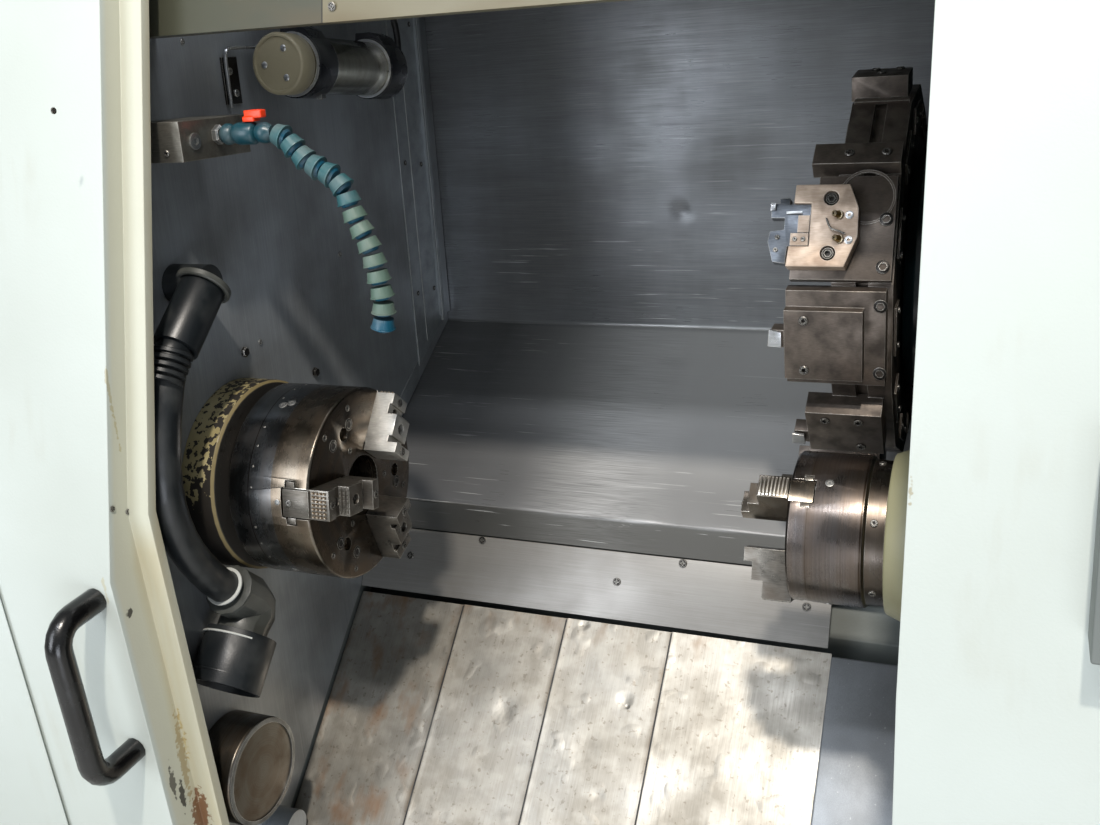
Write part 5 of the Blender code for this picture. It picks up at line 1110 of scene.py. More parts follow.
# The tan block on the station toward the operator.  Milled steel, worn to a brownish tan, with
# pressed-in brass nozzles and a wedge that clamps the stepped tool and its carbide insert.
BLOCK_X = 0.541
in_block = station(0) @ Matrix.Translation((BLOCK_X, 0, 0))
block_top = FLAT + 0.0303
screws("block_screws", cap_screw, (7.6, 7.0, 7.0, 4.5),
       [(in_block @ Vector((x, t, block_top - 0.0085)), facing_of(0))
        for x, t in ((0.044, 0.030), (0.044, -0.034))], black_oxide, turret_body)


def turned_piece(name, finish, rider, *turnings, stands_for=(), angle=35.0):
    """A piece of turned shapes: (profile, start, axis, steps) for each."""
    shape = bmesh.new()
    for turning in turnings:
        add_turned(shape, *turning)
    return piece(name, shape, finish, rider, stands_for, angle)


NOZZLE = [(0, 0), (0, 0.0052), (0.0022, 0.0052), (0.0026, 0.0040), (0.0105, 0.0036),
          (0.0115, 0.0028), (0.0115, 0.0013), (0.0085, 0.0011), (0.0085, 0)]
NOZZLE_RING = [(0, 0.0018), (0, 0.0046), (0.0012, 0.0046), (0.0016, 0.0030), (0.0016, 0.0018)]
turned_piece("coolant_nozzles", brass, turret_body, *(
    (NOZZLE, in_block @ Vector((x, t, block_top - 0.0004)),
     facing_of(0) + Vector(TO_LEFT) * 0.6, 20) for x, t in ((0.055, 0.010), (0.057, -0.018))))
turned_piece("nozzle_rings", silver_steel, turret_body, *(
    (NOZZLE_RING, in_block @ Vector((x, t, block_top - 0.0003)), facing_of(0), 20)
    for x, t in ((0.0655, 0.010), (0.0665, -0.019))))
wire = smooth_route([in_block @ Vector(spot) for spot in (
    (0.040, 0.006, block_top + 0.0012), (0.046, -0.006, block_top + 0.0035),
    (0.054, -0.009, block_top + 0.0042), (0.062, -0.012, block_top + 0.0020))], 14)
shape = bmesh.new()
add_tube(shape, wire, [0.0011] * len(wire), 8)
piece("nozzle_wire", shape, black_oxide, turret_body)
block_piece("clamp_wedge", tan_steel, turret_body, in_block,
            ((0.0006, -0.0255, 0.2640), (0.0212, -0.0110, 0.2672), 0.5),
            ((0.0080, -0.0100, 0.2633), (0.0212, 0.0100, 0.2660), 0.5))
shape = bmesh.new()
add_prism(shape, [(-0.0245, 0.0155), (-0.0190, 0.0165), (-0.0185, 0.0245), (-0.0243, 0.0250)],
          0.2625, 0.2668, in_block, 0.3)
add_block(shape, (-0.0060, 0.0120, 0.2630), (0.0120, 0.0150, 0.2655), in_block, 0.3)
piece("cutting_insert", shape, silver_steel, turret_body)
screws("wedge_screws", cap_screw, (2.8, 1.6, 2.6, 1.2),
       [(in_block @ Vector(spot), facing_of(0)) for spot in (
           (0.0060, -0.0182, 0.2670), (0.0155, -0.0182, 0.2670), (-0.0160, -0.0300, 0.2629),
           (-0.0150, -0.0150, 0.2629))], black_oxide, turret_body)
shape = bmesh.new()
for k, x, t in ((1, 0.5215, 0.003), (2, 0.5395, -0.018), (3, 0.529, 0.002)):
    add_prism(shape, [(x - 0.004, t - 0.009), (x + 0.012, t - 0.010), (x + 0.012, t + 0.009),
                      (x - 0.002, t + 0.012)], FLAT + 0.0262, FLAT + 0.0295, station(k), 0.4)
piece("holder_inserts", shape, silver_steel, turret_body)

# The suction duct on the left wall and the round cover under it.  A smooth black rubber hose
# pushed on a ribbed cuff above and a grey plastic elbow below, held by white clamp rings.
duct_rubber = rubber("duct_rubber", "14181b", 0.36, 0.10)
elbow_plastic = rubber("elbow_plastic", "3f413e", 0.34, 0.4)
ring_plastic = rubber("white_ring_plastic", "b9bcb8", 0.45, 0.3)
refined("duct_coupling", 0.8, duct_rubber)
refined("duct_collar", 0.8, duct_rubber)
refined("duct_elbow", 0.8, elbow_plastic)
DUCT_X = -0.145
duct_points = [at(DUCT_X, y, z) for y, z in (
    (-0.1477, 0.2163), (-0.160, 0.205), (-0.184, 0.150), (-0.200, 0.088), (-0.203, 0.030),
    (-0.186, -0.030), (-0.150, -0.086), (-0.1222, -0.1158))]
duct_route = smooth_route(duct_points, 72)
shape = bmesh.new()
add_tube(shape, duct_route, [0.0214 + 0.0002 * math.sin(k * 1.3) for k in range(72)], 32)
piece("suction_hose", shape, duct_rubber, base, ["duct_hose"])
hose_end = (duct_route[-1] - duct_route[-3]).normalized()
collar_axis = Vector((0, -0.686, -0.727))


def ring_bands(name, finish, *bands):
    """Bands with rounded shoulders: (centre, axis, inner and outer radius, width) for each."""
    turnings = []
    for centre, axis, inner, outer, wide in bands:
        shoulder = outer - (outer - inner) * 0.4
        profile = [(-wide / 2, inner), (-wide / 2, shoulder), (-wide / 3, outer),
                   (wide / 3, outer), (wide / 2, shoulder), (wide / 2, inner)]
        turnings.append((profile, centre, axis, 40))
    turned_piece(name, finish, base, *turnings)


ring_bands("clamp_rings", ring_plastic,
           (at(DUCT_X, -0.1290, -0.1085), hose_end, 0.0218, 0.0258, 0.0030),
           (at(DUCT_X, -0.1180, -0.1925), collar_axis, 0.0462, 0.0484, 0.0030))
cuff_start = duct_route[1]
cuff_way = (duct_route[3] - cuff_start).normalized()
ring_bands("rubber_cuffs", duct_rubber,
           *((cuff_start + cuff_way * (0.004 + k * 0.009), duct_route[6] - cuff_start,
              0.0216, 0.0258, 0.0060) for k in range(5)),
           (at(DUCT_X, -0.1515, -0.2285), collar_axis, 0.0465, 0.0482, 0.0022))
ring_bands("cuff_band", elbow_plastic,
           (at(DUCT_X, -0.0800, 0.2785), (0, -0.735, -0.678), 0.0300, 0.0345, 0.0090))
cover_centre = at(-0.130, -0.128, -0.387)
refined("round_cover", 1.2, turned_steel("turned_cover_steel", "74726c", "5a5853", 0.36,
                                         cover_centre, 1.2, 0.6))
ring_bands("cover_rim", zinc_plate,
           (cover_centre + Vector((0.0002, 0, 0)), TO_RIGHT, 0.0660, 0.0722, 0.0028))
ring_bands("drain_ring", zinc_plate,
           (at(-0.1885, -0.046, -0.545), TO_RIGHT, 0.0180, 0.0242, 0.0050))

# The coolant line: a steel manifold block with a hexagon plug, a plastic ball valve with an
# orange lever, and a hose of cupped plastic joints, faded green where light and coolant reach.
valve_teal = rubber("valve_teal_plastic", "0f3a44", 0.34, 0.4)
joint_blue = rubber("joint_blue_plastic", "0f4a60", 0.36, 0.5)
faded_teal = rubber("faded_teal_plastic", "2a5459", 0.46, 0.5)
faded_green = rubber("faded_green_plastic", "4e6359", 0.50, 0.6)
orange_plastic = rubber("orange_plastic", "e23c14", 0.38, 0.08)
block_steel = ground_steel("dull_block_steel", "8a877e", "73716a", 0.42, 0.6, "3a3428")
refined("coolant_block", 0.8, block_steel)
screws("block_plug", cap_screw, (9.6, 2.6, 8.0, 2.3),
       [(at(-0.1099, -0.099, 0.4540), TO_RIGHT)], zinc_plate, base)
screws("block_side_screws", cap_screw, (4.2, 2.4, 4.0, 1.8),
       [(at(-0.168, -0.1229, 0.4660), (0, -1, 0)), (at(-0.132, -0.1229, 0.4430), (0, -1, 0))],
       black_oxide, base)
screws("hose_fitting", hex_bolt, (11.6, 8.0, 0.1, 0.05),
       [(at(-0.1099, -0.056, 0.458), TO_RIGHT)], zinc_plate, base)
seat = at(-0.110, -0.056, 0.458)
valve_parts = [(profile, seat, TO_RIGHT, 36) for profile in (
    [(0.0003, 0), (0.0003, 0.0090), (0.008, 0.0090), (0.0085, 0)],
    [(0.0095, 0), (0.0095, 0.0070), (0.0110, 0.0105), (0.0150, 0.0124), (0.0190, 0.0124),
     (0.0235, 0.0108), (0.0265, 0.0080), (0.0265, 0), (0.0095, 0)],
    [(0.0275, 0), (0.0275, 0.0098), (0.0290, 0.0118), (0.0330, 0.0130),
     (0.0540, 0.0130), (0.0560, 0.0115), (0.0580, 0.0090), (0.0580, 0)],
    [(0.0590, 0), (0.0590, 0.0088), (0.0620, 0.0112), (0.0660, 0.0122), (0.0710, 0.0122),
     (0.0750, 0.0106), (0.0778, 0.0082), (0.0797, 0.0080), (0.0797, 0)])]
valve_stem = ([(0, 0), (0, 0.0062), (0.0118, 0.0058), (0.0122, 0)], at(-0.060, -0.056, 0.4560),
              (0, 0, 1), 24)
turned_piece("valve_body", valve_teal, nodes["coolant_valve"]["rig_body"], *valve_parts,
                     valve_stem, stands_for=["coolant_valve"], angle=50)
lever_body = nodes["valve_lever"]["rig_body"]
refined("valve_lever", 1.2, orange_plastic)
turned_piece("lever_hub", orange_plastic, lever_body, (
    [(0, 0), (0, 0.0058), (0.0100, 0.0054), (0.0112, 0.0042), (0.0112, 0)],
    at(-0.058, -0.056, 0.4722), (0, 0, 1), 28))
block_piece("lever_ribs", orange_plastic, lever_body, None,
            *((at(x, -0.0602, 0.4838), at(x + 0.0015, -0.0518, 0.4850), 0.3)
              for x in (-0.0545, -0.0500, -0.0455)))


def joint_tree(name, shapes):
    """Nodes that thread one joint of the hose on each point: stacked cones along its facing."""
    tree, given = begin_tree(name, Float=("Joint radius", "Joint length"))
    cones = []
    for low_radius, high_radius, start, end in shapes:
        cone = node(tree, "GeometryNodeMeshCone", {
            "Vertices": 28, "Depth": maths(tree, "MULTIPLY", given["Joint length"], end - start),
            "Radius Bottom": maths(tree, "MULTIPLY", given["Joint radius"], low_radius),
            "Radius Top": maths(tree, "MULTIPLY", given["Joint radius"], high_radius)})
        cones.append(raised(tree, cone.outputs["Mesh"],
                            maths(tree, "MULTIPLY", given["Joint length"], start)))
    return set_on_points(tree, given, joined(tree, "UNION", *cones))


hose_body = nodes["coolant_hose"]["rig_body"]
JOINTS = 15
hose_points = [at(x, -0.056, z) for x, z in (
    (-0.0296, 0.458), (-0.020, 0.4565), (-0.008, 0.446), (0.013, 0.423), (0.054, 0.399),
    (0.068, 0.360), (0.085, 0.322), (0.092, 0.285), (0.095, 0.255), (0.090, 0.224))]
hose_route = smooth_route(hose_points, JOINTS * 2 + 1)
joint_long = sum((b - a).length for a, b in zip(hose_route, hose_route[1:])) / JOINTS
cups = [(hose_route[2 * k], (hose_route[2 * k + 2] - hose_route[2 * k]).normalized())
        for k in range(JOINTS)]
ball_tree = joint_tree("hose_ball_joint", ((0.60, 0.86, 0.0, 0.30), (0.86, 0.92, 0.299, 0.70),
                                           (0.92, 0.86, 0.699, 0.84), (0.86, 0.66, 0.839, 1.02)))
cup_tree = joint_tree("hose_cup_joint", ((0.70, 0.90, 0.00, 0.20), (0.90, 1.06, 0.199, 0.80),
                                         (1.12, 1.12, 0.78, 0.86)))
joint_sizes = {"Joint radius": 0.0134, "Joint length": joint_long}
hose_balls = planted("hose_ball_ends", ball_tree, joint_sizes, cups, joint_blue, hose_body)
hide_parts("coolant_hose")
planted("hose_teal_cups", cup_tree, joint_sizes, cups[:7], faded_teal, hose_body)
planted("hose_faded_cups", cup_tree, joint_sizes, cups[7:-1], faded_green, hose_body)
planted("hose_last_cup", cup_tree, joint_sizes, cups[-1:], joint_blue, hose_body)

# The tube lamp.  A thick glass tube over a bright reflector, a khaki enamelled end cap with a
# raised rim and three dome screws, two black clamps with feet on the wall, and a rod bracket.
khaki_paint = enamel("khaki_cap_enamel", "97917a", "827b64", 0.38, 3, 0.5)
clamp_plastic = rubber("clamp_plastic", "0f1116", 0.24, 0.2)
reflector = turned_steel("lamp_tube_reflector", "bab8aa", "8f8d7e", 0.14, LAMP_FRONT, 8, 0.30,
                         "8b8570")
lamp_side = Vector(TO_RIGHT)
lamp_up = lamp_side.cross(LAMP_AXIS)


def on_lamp(along, right, up):
    """A place on the lamp: metres from its front end, to the right of its axis and above it."""
    return LAMP_FRONT + LAMP_AXIS * along + lamp_side * right + lamp_up * up


turned_piece("lamp_end_cap", khaki_paint, base, (
    [(0.0337, 0), (0.0337, 0.0370), (0.0300, 0.0398), (0.0030, 0.0398), (0.0008, 0.0386),
     (0.0002, 0.0366), (0.0006, 0.0348), (0.0026, 0.0340), (0.0026, 0)],
    LAMP_FRONT, LAMP_AXIS, 56), stands_for=["lamp_cap"], angle=50)
DOME = [(0, 0), (0, 0.0046), (0.0008, 0.0044), (0.0016, 0.0034), (0.0021, 0.0018), (0.0022, 0)]
turned_piece("lamp_cap_screws", silver_steel, base, *(
    (DOME, on_lamp(0.0027, 0.0215 * math.cos(math.radians(a)),
                   0.0215 * math.sin(math.radians(a))), LAMP_AXIS * -1, 20)
    for a in (62, 182, 302)))
turned_piece("lamp_glass_tube", reflector, base, (
    [(0.0343, 0), (0.0343, 0.0384), (0.2820, 0.0384), (0.2846, 0.0368), (0.2848, 0)],
    LAMP_FRONT, LAMP_AXIS, 56), stands_for=["lamp_tube"], angle=50)
for name in ("lamp_clamp_front", "lamp_clamp_rear"):
    refined(name, 1.0, clamp_plastic)
ring_bands("lamp_bright_rings", silver_steel,
           *((LAMP_FRONT + LAMP_AXIS * along, LAMP_AXIS, 0.0385, 0.0420, 0.0020)
             for along in (0.0362, 0.0828, 0.2252, 0.2760)))
shape = bmesh.new()
on_clamp = Matrix((lamp_side, lamp_up, lamp_side.cross(lamp_up))).transposed().to_4x4()
for near, far in ((0.040, 0.078), (0.230, 0.271)):
    add_prism(shape, [(-0.020, 0.036), (-0.017, 0.0515), (0.006, 0.0515), (0.022, 0.044),
                      (0.031, 0.030), (0.020, 0.034)], near - far, 0.0,
              Matrix.Translation(LAMP_FRONT + LAMP_AXIS * near) @ on_clamp, 0.8)
piece("clamp_ridges", shape, clamp_plastic, base)
block_piece("bracket_plate", black_oxide, base, None,
            (at(-0.1897, 0.072, 0.488), at(-0.1865, 0.104, 0.548), 0.4))
screws("bracket_screws", cap_screw, (5.0, 3.0, 4.4, 2.2),
       [(at(-0.1866, 0.084, 0.530), TO_RIGHT), (at(-0.1866, 0.092, 0.502), TO_RIGHT)], zinc_plate,
       base)
rod_route = smooth_route([at(-0.1840, 0.076, 0.484), at(-0.1838, 0.076, 0.520),
                          at(-0.1836, 0.077, 0.548), at(-0.1826, 0.082, 0.5575),
                          at(-0.1800, 0.100, 0.5590), at(-0.1720, 0.145, 0.5590)], 40)
shape = bmesh.new()
add_tube(shape, rod_route, [0.0026] * 40, 14)
piece("bracket_rod", shape, silver_steel, base)
block_piece("clamp_nut", zinc_plate, base, None,
            (at(-0.121, 0.178, 0.4868), at(-0.110, 0.189, 0.4930), 0.6))
screws("clamp_bolt", cap_screw, (3.4, 1.4, 3.0, 1.0),
       [(at(-0.1155, 0.1835, 0.4869), (0, 0, -1))], black_oxide, base)
turned_piece("cable_sleeve", clamp_plastic, base, (
    [(0, 0.0053), (0, 0.0115), (0.004, 0.0120), (0.010, 0.0088), (0.020, 0.0072),
     (0.021, 0.0053)], cable_exit, LAMP_AXIS, 28))
turned_piece("cable_gland", clamp_plastic, base, (
    [(-0.002, 0.0053), (-0.002, 0.0105), (0.008, 0.0105), (0.011, 0.0080), (0.013, 0.0053)],
    cable_route[-1], (cable_route[-2] - cable_route[-1]).normalized(), 12))

# The outer covers, the header and the door.  Folded steel sheet, powder coated in a pale
# greenish cream, yellowed, scuffed and rusted at the lower edges.
FRONT_Y = -0.30
CREASE_Z = -0.024
LEAN_ABOVE = math.radians(12.5)
LEAN_BELOW = math.radians(4.0)


def marked_cream(name, marks, yellowed=0.0):
    """The cream coat, yellowed behind the front, with marks: (place, half width and half height
    in mm, colour, strength)."""
    made, tree, shader, place = new_finish(name, "d3d9c8", 0.42, ior=1.52)
    x, y, z = from_chuck(tree, place)
    tone = clouds(tree, place, 420, 0.30, 0.70)
    runs = clouds(tree, place, 26, 0.52, 0.85, stretch=(1, 1, 12))
    dirt = clouds(tree, place, 160, 0.52, 0.82, detail=8.0)
    trickle = clouds(tree, place, 12, 0.25, 0.62, stretch=(1, 1, 16), detail=4.0)
    nicks = clouds(tree, place, 11, 0.775, 0.785, detail=5.0)
    ragged = clouds(tree, place, 7, 0.30, 0.70, detail=9.0)
    rise = maths(tree, "SUBTRACT", z, CREASE_Z)
    lean = maths(tree, "MAXIMUM", both(tree, rise, math.tan(LEAN_ABOVE)),
                 both(tree, rise, -math.tan(LEAN_BELOW)))
    behind = maths(tree, "SUBTRACT", y, lean)
    fold = ramp(tree, behind, -0.297, -0.290)
    aside = maths(tree, "ABSOLUTE", maths(tree, "SUBTRACT", behind, -0.250))
    streak = both(tree, ramp(tree, aside, 0.016, 0.004), between(tree, trickle, 0.35, 1.0))
    colour = blend(tree, tone, linear("bcc4c0"), linear("b1b8b2"))
    colour = layered(tree, colour, (both(tree, runs, dirt), "8a7b56", 0.5),
                     (fold, "b9ad84", yellowed), (streak, "a08c58", yellowed), (nicks, "3a352c", 1))
    for spot, wide_mm, long_mm, shade, strength in marks:
        away = vector_maths(tree, "MULTIPLY", vector_maths(tree, "SUBTRACT", place, at(*spot)),
                            (1, 1, wide_mm / long_mm))
        near = ramp(tree, vector_maths(tree, "LENGTH", away), wide_mm / 1000, 0.0)
        torn = ramp(tree, combine(tree, "ADD", near, both(tree, ragged, 0.6)), 0.74, 0.86)
        covered = maths(tree, "GREATER_THAN", near, 0.02)
        colour = layered(tree, colour, (both(tree, torn, covered), shade, strength))
    skin = clouds(tree, place, 3, 0.35, 0.65, detail=2.0)
    paint_surface(tree, shader, colour, between(tree, dirt, 0.40, 0.55))
    relief(tree, shader, skin, 0.05)
    return made


cream_paint = marked_cream("cream_powder_coat", (
    ((0.091, -0.0895, 0.587), 14, 18, "5b3f22", 0.8), ((-0.42, -0.297, -0.04), 9, 7, "3a352c", 0.9),
    ((0.712, -0.26, 0.05), 5, 260, "8b7c55", 0.6), ((0.712, -0.28, -0.30), 6, 160, "7a6238", 0.7)))
door_paint = marked_cream("scuffed_door_coat", (
    ((-0.160, -0.280, -0.073), 8, 12, "26231f", 0.9),
    ((-0.160, -0.262, -0.317), 9, 42, "2a2520", 0.8),
    ((-0.158, -0.228, -0.390), 22, 60, "6b4322", 0.9),
    ((-0.158, -0.232, -0.180), 6, 260, "a3925f", 0.7),
    ((-0.160, -0.248, 0.250), 5, 220, "9b9068", 0.6),
    ((-0.158, -0.238, -0.300), 12, 120, "86703c", 0.6),
    ((-0.158, -0.250, -0.345), 10, 40, "1d1916", 0.9),
    ((-0.170, -0.300, -0.024), 4, 500, "a79f7c", 0.5)), 0.34)
for name in ("front_apron", "front_cover_left", "front_cover_right"):
    refined(name, 1.0, cream_paint)
refined("door", 1.2, door_paint, segments=3)

# The outer sheets of both ends, the back and the roof, which the photo does not show.  Sheet steel
# in the same cream coat, in lengths that meet in dark joints with countersunk screws beside them.


def panelled_coat(name, axis, run, lines):
    """Cream coat with dark joints across one axis, screws along them, and dust in soft clouds."""
    made, tree, shader, place = new_finish(name, "bcc4c0", 0.45, ior=1.52)
    tone = clouds(tree, place, 420, 0.30, 0.70)
    dirt = clouds(tree, place, 160, 0.50, 0.82, detail=8.0)
    parts = node(tree, "ShaderNodeSeparateXYZ", {"Vector": place}).outputs
    across = maths(tree, "ABSOLUTE", parts[axis])
    step = maths(tree, "WRAP", parts[run], -0.11, 0.11)
    colour = blend(tree, tone, linear("bcc4c0"), linear("b1b8b2"))
    colour = layered(tree, colour, (dirt, "8a8268", 0.30))
    under = None
    for line in lines:
        away = maths(tree, "ABSOLUTE", maths(tree, "SUBTRACT", across, line))
        aside = maths(tree, "SUBTRACT", away, 0.022)
        spot = node(tree, "ShaderNodeCombineXYZ", {"X": aside, "Y": step, "Z": 0.0}).outputs[0]
        far = vector_maths(tree, "LENGTH", spot)
        joint = maths(tree, "LESS_THAN", away, 0.0011)
        head = maths(tree, "LESS_THAN", far, 0.0056)
        recess = maths(tree, "LESS_THAN", far, 0.0026)
        colour = layered(tree, colour, (joint, "25241f", 1), (head, "6f706c", 1),
                         (recess, "171614", 1))
        hollow = combine(tree, "ADD", joint, combine(tree, "ADD", head, recess))
        under = relief(tree, shader, hollow, -0.5, under)
    paint_surface(tree, shader, colour, between(tree, dirt, 0.40, 0.56))
    return made


end_coat = panelled_coat("panelled_end_coat", "Y", "Z", (0.30,))
for name in ("end_cover_left", "end_cover_right"):
    refined(name, 1.0, end_coat)
refined("rear_cover", 1.0, panelled_coat("panelled_rear_coat", "X", "Z", (0.56, 1.32)))
refined("roof_cover", 1.0, panelled_coat("panelled_roof_coat", "X", "Y", (0.56, 1.32)))


def header_coat(name):
    """The header's coat: an olive first length and a cream second one, joined by a dark seam, both
    painted darker as painted shade.
    """
    made, tree, shader, place = new_finish(name, "77745a", 0.45, ior=1.52)
    x, y, z = from_chuck(tree, place)
    seam_x = 0.0775
    second = maths(tree, "GREATER_THAN", x, seam_x)
    seam = maths(tree, "COMPARE", x, seam_x, 0.0007)
    stain = clouds(tree, place, 60, 0.40, 0.70, stretch=(3, 1, 1), detail=8.0)
    # Both lengths are far darker than the cream coat: painted shade, where the cover above keeps
    # the light off the header.
    colour = blend(tree, second, linear("45463a"), linear("726d58"))
    colour = layered(tree, colour, (stain, "5c4c33", 0.5), (seam, "1a1712", 1))
    paint_surface(tree, shader, colour, between(tree, stain, 0.40, 0.55))
    return made


refined("door_header", 1.2, header_coat("stained_and_shade_darkened_header_coat"))
handle_plastic = rubber("handle_plastic", "0a0a0b", 0.20, 0.05)
refined("door_handle", 0.0, handle_plastic)
door_body = nodes["door"]["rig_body"]
out_of_front = Vector((0, -math.cos(LEAN_ABOVE), math.sin(LEAN_ABOVE)))
screws("door_return_screws", cross_screw, (3.6, 1.4, 3.6, 1.0),
       [(at(-0.1598, -0.2535, 0.046), TO_RIGHT), (at(-0.1598, -0.276, 0.0585), TO_RIGHT),
        (at(-0.1598, -0.2535, 0.500), TO_RIGHT)], black_oxide, door_body)
screws("header_screws", cross_screw, (4.6, 1.8, 4.6, 1.3),
       [(at(x, -0.0905, 0.588), (0, -1, 0)) for x in (0.091, 0.600, 0.340)], black_oxide, base)


def front_y(z):
    """The front face's depth at a height: it leans back above its crease and in below it."""
    if z > CREASE_Z:
        return FRONT_Y + (z - CREASE_Z) * math.tan(LEAN_ABOVE)
    return FRONT_Y + (CREASE_Z - z) * math.tan(LEAN_BELOW)


LOW_FACING = (0, -math.cos(LEAN_BELOW), -math.sin(LEAN_BELOW))
cover_screws = [(at(x, front_y(z) - 0.0052, z), out_of_front if z > CREASE_Z else LOW_FACING)
                for x in (-1.245, -1.190, 1.905) for z in (0.70, 0.36, -0.30, -0.56)]
screws("front_cover_screws", cross_screw, (4.6, 1.8, 4.6, 1.3), cover_screws, zinc_plate, base)

# The door's window: a laminated pane with a faint green cast, smooth and clear, held by a
# pressed-on gasket of black rubber with rounded corners.


def clear_glass(name):
    """Laminated glass: smooth, nearly clear, with a faint green cast."""
    made, tree, shader, place = new_finish(name, "b7cdc5", 0.04, ior=1.52)
    shader.inputs["Transmission Weight"].default_value = 0.92
    return made


nodes["door_window"].data.materials.clear()
nodes["door_window"].data.materials.append(clear_glass("laminated_glass"))
shape = bmesh.new()
LEANING = Matrix.Rotation(math.pi / 2 - LEAN_ABOVE, 4, "X")
lean = Matrix.Translation(at(0, FRONT_Y - CREASE_Z * math.tan(LEAN_ABOVE), 0)) @ LEANING
LEAN_LONG = 1 / math.cos(LEAN_ABOVE)


def frame_outline(left, right, low, high, radius):
    """A rectangle with rounded corners as points, once round."""
    points = []
    for x, z, start in ((right, high, 0), (left, high, 90), (left, low, 180), (right, low, 270)):
        cx = x - radius if x == right else x + radius
        cz = z - radius if z == high else z + radius
        points += [(cx + radius * math.cos(math.radians(start + 15 * i)),
                    cz + radius * math.sin(math.radians(start + 15 * i))) for i in range(7)]
    return points


outer = frame_outline(-1.028, -0.452, 0.052 * LEAN_LONG, 0.608 * LEAN_LONG, 0.020)
inner = frame_outline(-1.008, -0.472, 0.072 * LEAN_LONG, 0.588 * LEAN_LONG, 0.012)
rows = []
for outline, lift in ((outer, 0.0004), (outer, 0.0035), (inner, 0.0035), (inner, 0.0004)):
    rows.append([shape.verts.new(lean @ Vector((u, v, lift))) for u, v in outline])
for first, second in zip(rows, rows[1:] + rows[:1]):
    for k in range(len(outer)):
        j = (k + 1) % len(outer)
        shape.faces.new((first[k], first[j], second[j], second[k]))
piece("window_gasket", shape, wiper_rubber, door_body)

# The operator's controls on the right front cover: cast housings with blank keys, a dark glass
# screen, the red stop button on a yellow plate and the ribbed feed dial.
for name in ("key_panel", "screen_panel"):
    refined(name, 2.5, casting_paint, segments=3)
red_plastic = rubber("red_plastic", "a81010", 0.30, 0.0)
dial_plastic = rubber("dial_plastic", "121212", 0.35, 0.1)
refined("emergency_stop", 1.2, red_plastic)
refined("feed_dial", 0.8, dial_plastic)
key_plastic = rubber("key_cap_plastic", "c9c9c2", 0.45, 0.1)
screen_glass = new_finish("screen_glass", "0d1214", 0.06, ior=1.5)[0]


def leaning_pads(name, corners, size, edge_mm, finish):
    """Flat pads on the leaning front, each from its lower left corner (x, z) and its depth."""
    shape = bmesh.new()
    for x, z, depth in corners:
        turn = Matrix.Translation(at(x, front_y(z) - depth, z)) @ LEANING
        add_block(shape, (0, 0, 0), size, turn, edge_mm)
    piece(name, shape, finish, base)


leaning_pads("blank_keys", [(0.875 + column * 0.027, 0.085 + row * 0.036, 0.0455)
                            for row in range(3) for column in range(8)],
             (0.020, 0.024, 0.0032), 0.9, key_plastic)
leaning_pads("screen_pane", [(1.422, 0.180, 0.0535)], (0.296, 0.214, 0.0014), 0.4, screen_glass)
leaning_pads("soft_keys", [(1.400 + k * 0.058, 0.050, 0.0555) for k in range(6)],
             (0.040, 0.018, 0.0030), 0.9, key_plastic)
knob_z = 0.1275
knob_face = front_y(knob_z) - 0.045
ring_bands("stop_surround", rubber("yellow_plastic", "d9b21a", 0.45, 0.05),
           (at(1.245, knob_face - 0.0008, knob_z), out_of_front, 0.0215, 0.0265, 0.0016))
dial_seat = at(1.155, knob_face, knob_z)
upright = out_of_front.cross(Vector(TO_RIGHT))
RIB = [(0.002, 0), (0.002, 0.0010), (0.0145, 0.0010), (0.0150, 0)]
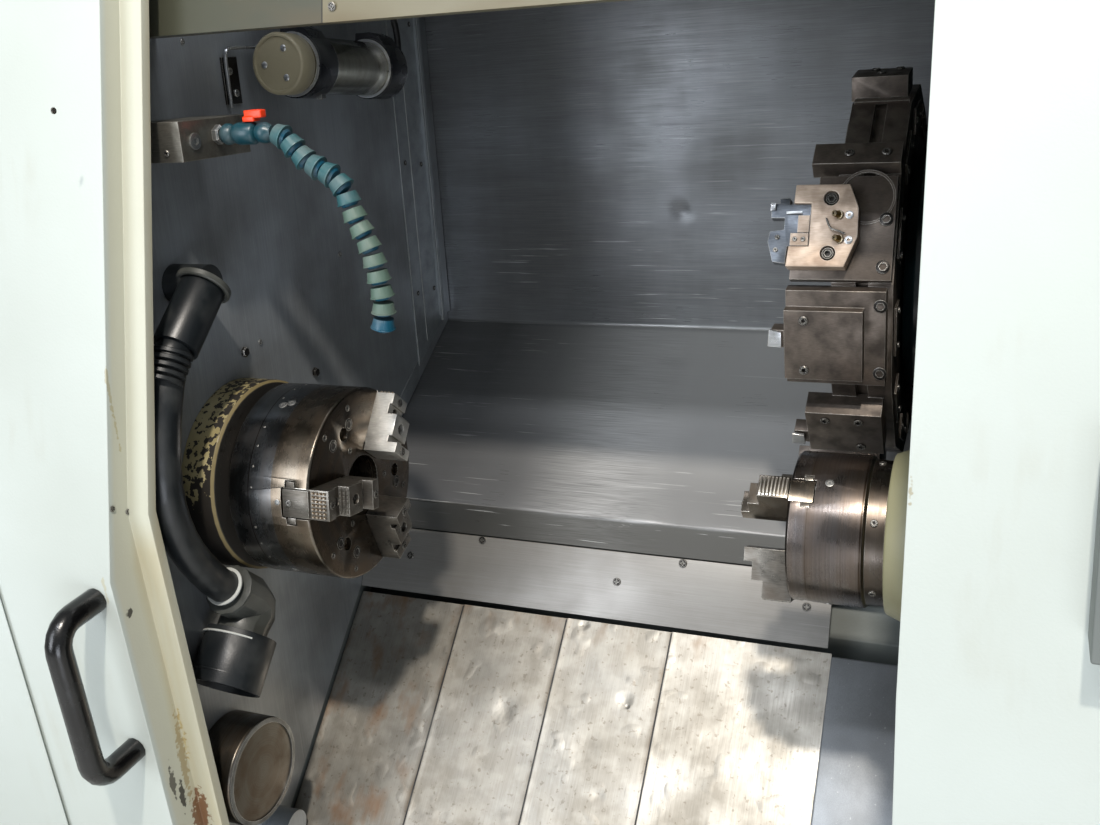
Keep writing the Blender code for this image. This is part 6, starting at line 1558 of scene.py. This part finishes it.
turned_piece("dial_ribs", dial_plastic, nodes["feed_dial"]["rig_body"], *(
    (RIB, dial_seat + (Vector(TO_RIGHT) * math.cos(a) + upright * math.sin(a)) * 0.0238,
     out_of_front, 8) for a in (math.radians(15 * k) for k in range(24))))

# The studio.  A small bright lamp high in front casts the soft-edged shadows, wide lights fill
# them in from the hall's windows and ceiling, and a pale painted floor lies under the feet.


def soft_light(name, spot, target, wide, high, watts, colour):
    """A rectangular soft light aimed at a target."""
    made = bpy.data.objects.new(name, bpy.data.lights.new(name, "AREA"))
    made.data.shape = "RECTANGLE"
    made.data.size = wide
    made.data.size_y = high
    made.data.energy = watts
    made.data.color = linear(colour)[:3]
    bpy.context.scene.collection.objects.link(made)
    made.location = spot
    made.rotation_euler = (target - spot).to_track_quat("-Z", "Y").to_euler()


for light in (
        ("key_light", at(1.0, -2.2, 3.4), at(0.2, 0.1, -0.3), 0.16, 0.16, 142, "fff6ea"),
        ("ceiling_strip", at(0.0, -2.3, 2.9), at(0, 0, 0), 2.0, 0.14, 42, "f4f8ff"),
        ("low_bounce", at(1.3, -2.5, -0.6), at(-0.3, 0.1, 0.4), 1.2, 0.8, 18, "eef4ff"),
        ("chamber_glow", at(0.10, -0.02, 0.765), at(0.10, -0.02, 0), 0.50, 0.10, 0.8, "f6f8ff"),
        ("tall_window", at(-1.45, -3.30, 0.9), at(0.1, 0.5, 0.2), 1.3, 2.4, 68, "f2f7ff")):
    soft_light(*light)
world = bpy.data.worlds.new("hall")
bpy.context.scene.world = world
world.use_nodes = True
world.node_tree.nodes["Background"].inputs["Color"].default_value = linear("eef3f5")
world.node_tree.nodes["Background"].inputs["Strength"].default_value = 0.36
bpy.context.scene.view_settings.view_transform = "Standard"

floor_shape = bmesh.new()
bmesh.ops.create_grid(floor_shape, x_segments=1, y_segments=1, size=8.0)
floor_mesh = bpy.data.meshes.new("studio_floor")
floor_shape.to_mesh(floor_mesh)
floor_shape.free()
floor_mesh.materials.append(enamel("studio_floor_paint", "d9d9d6", "d2d2cf", 0.6, 8, 0.0))
studio_floor = bpy.data.objects.new("studio_floor", floor_mesh)
bpy.context.scene.collection.objects.link(studio_floor)
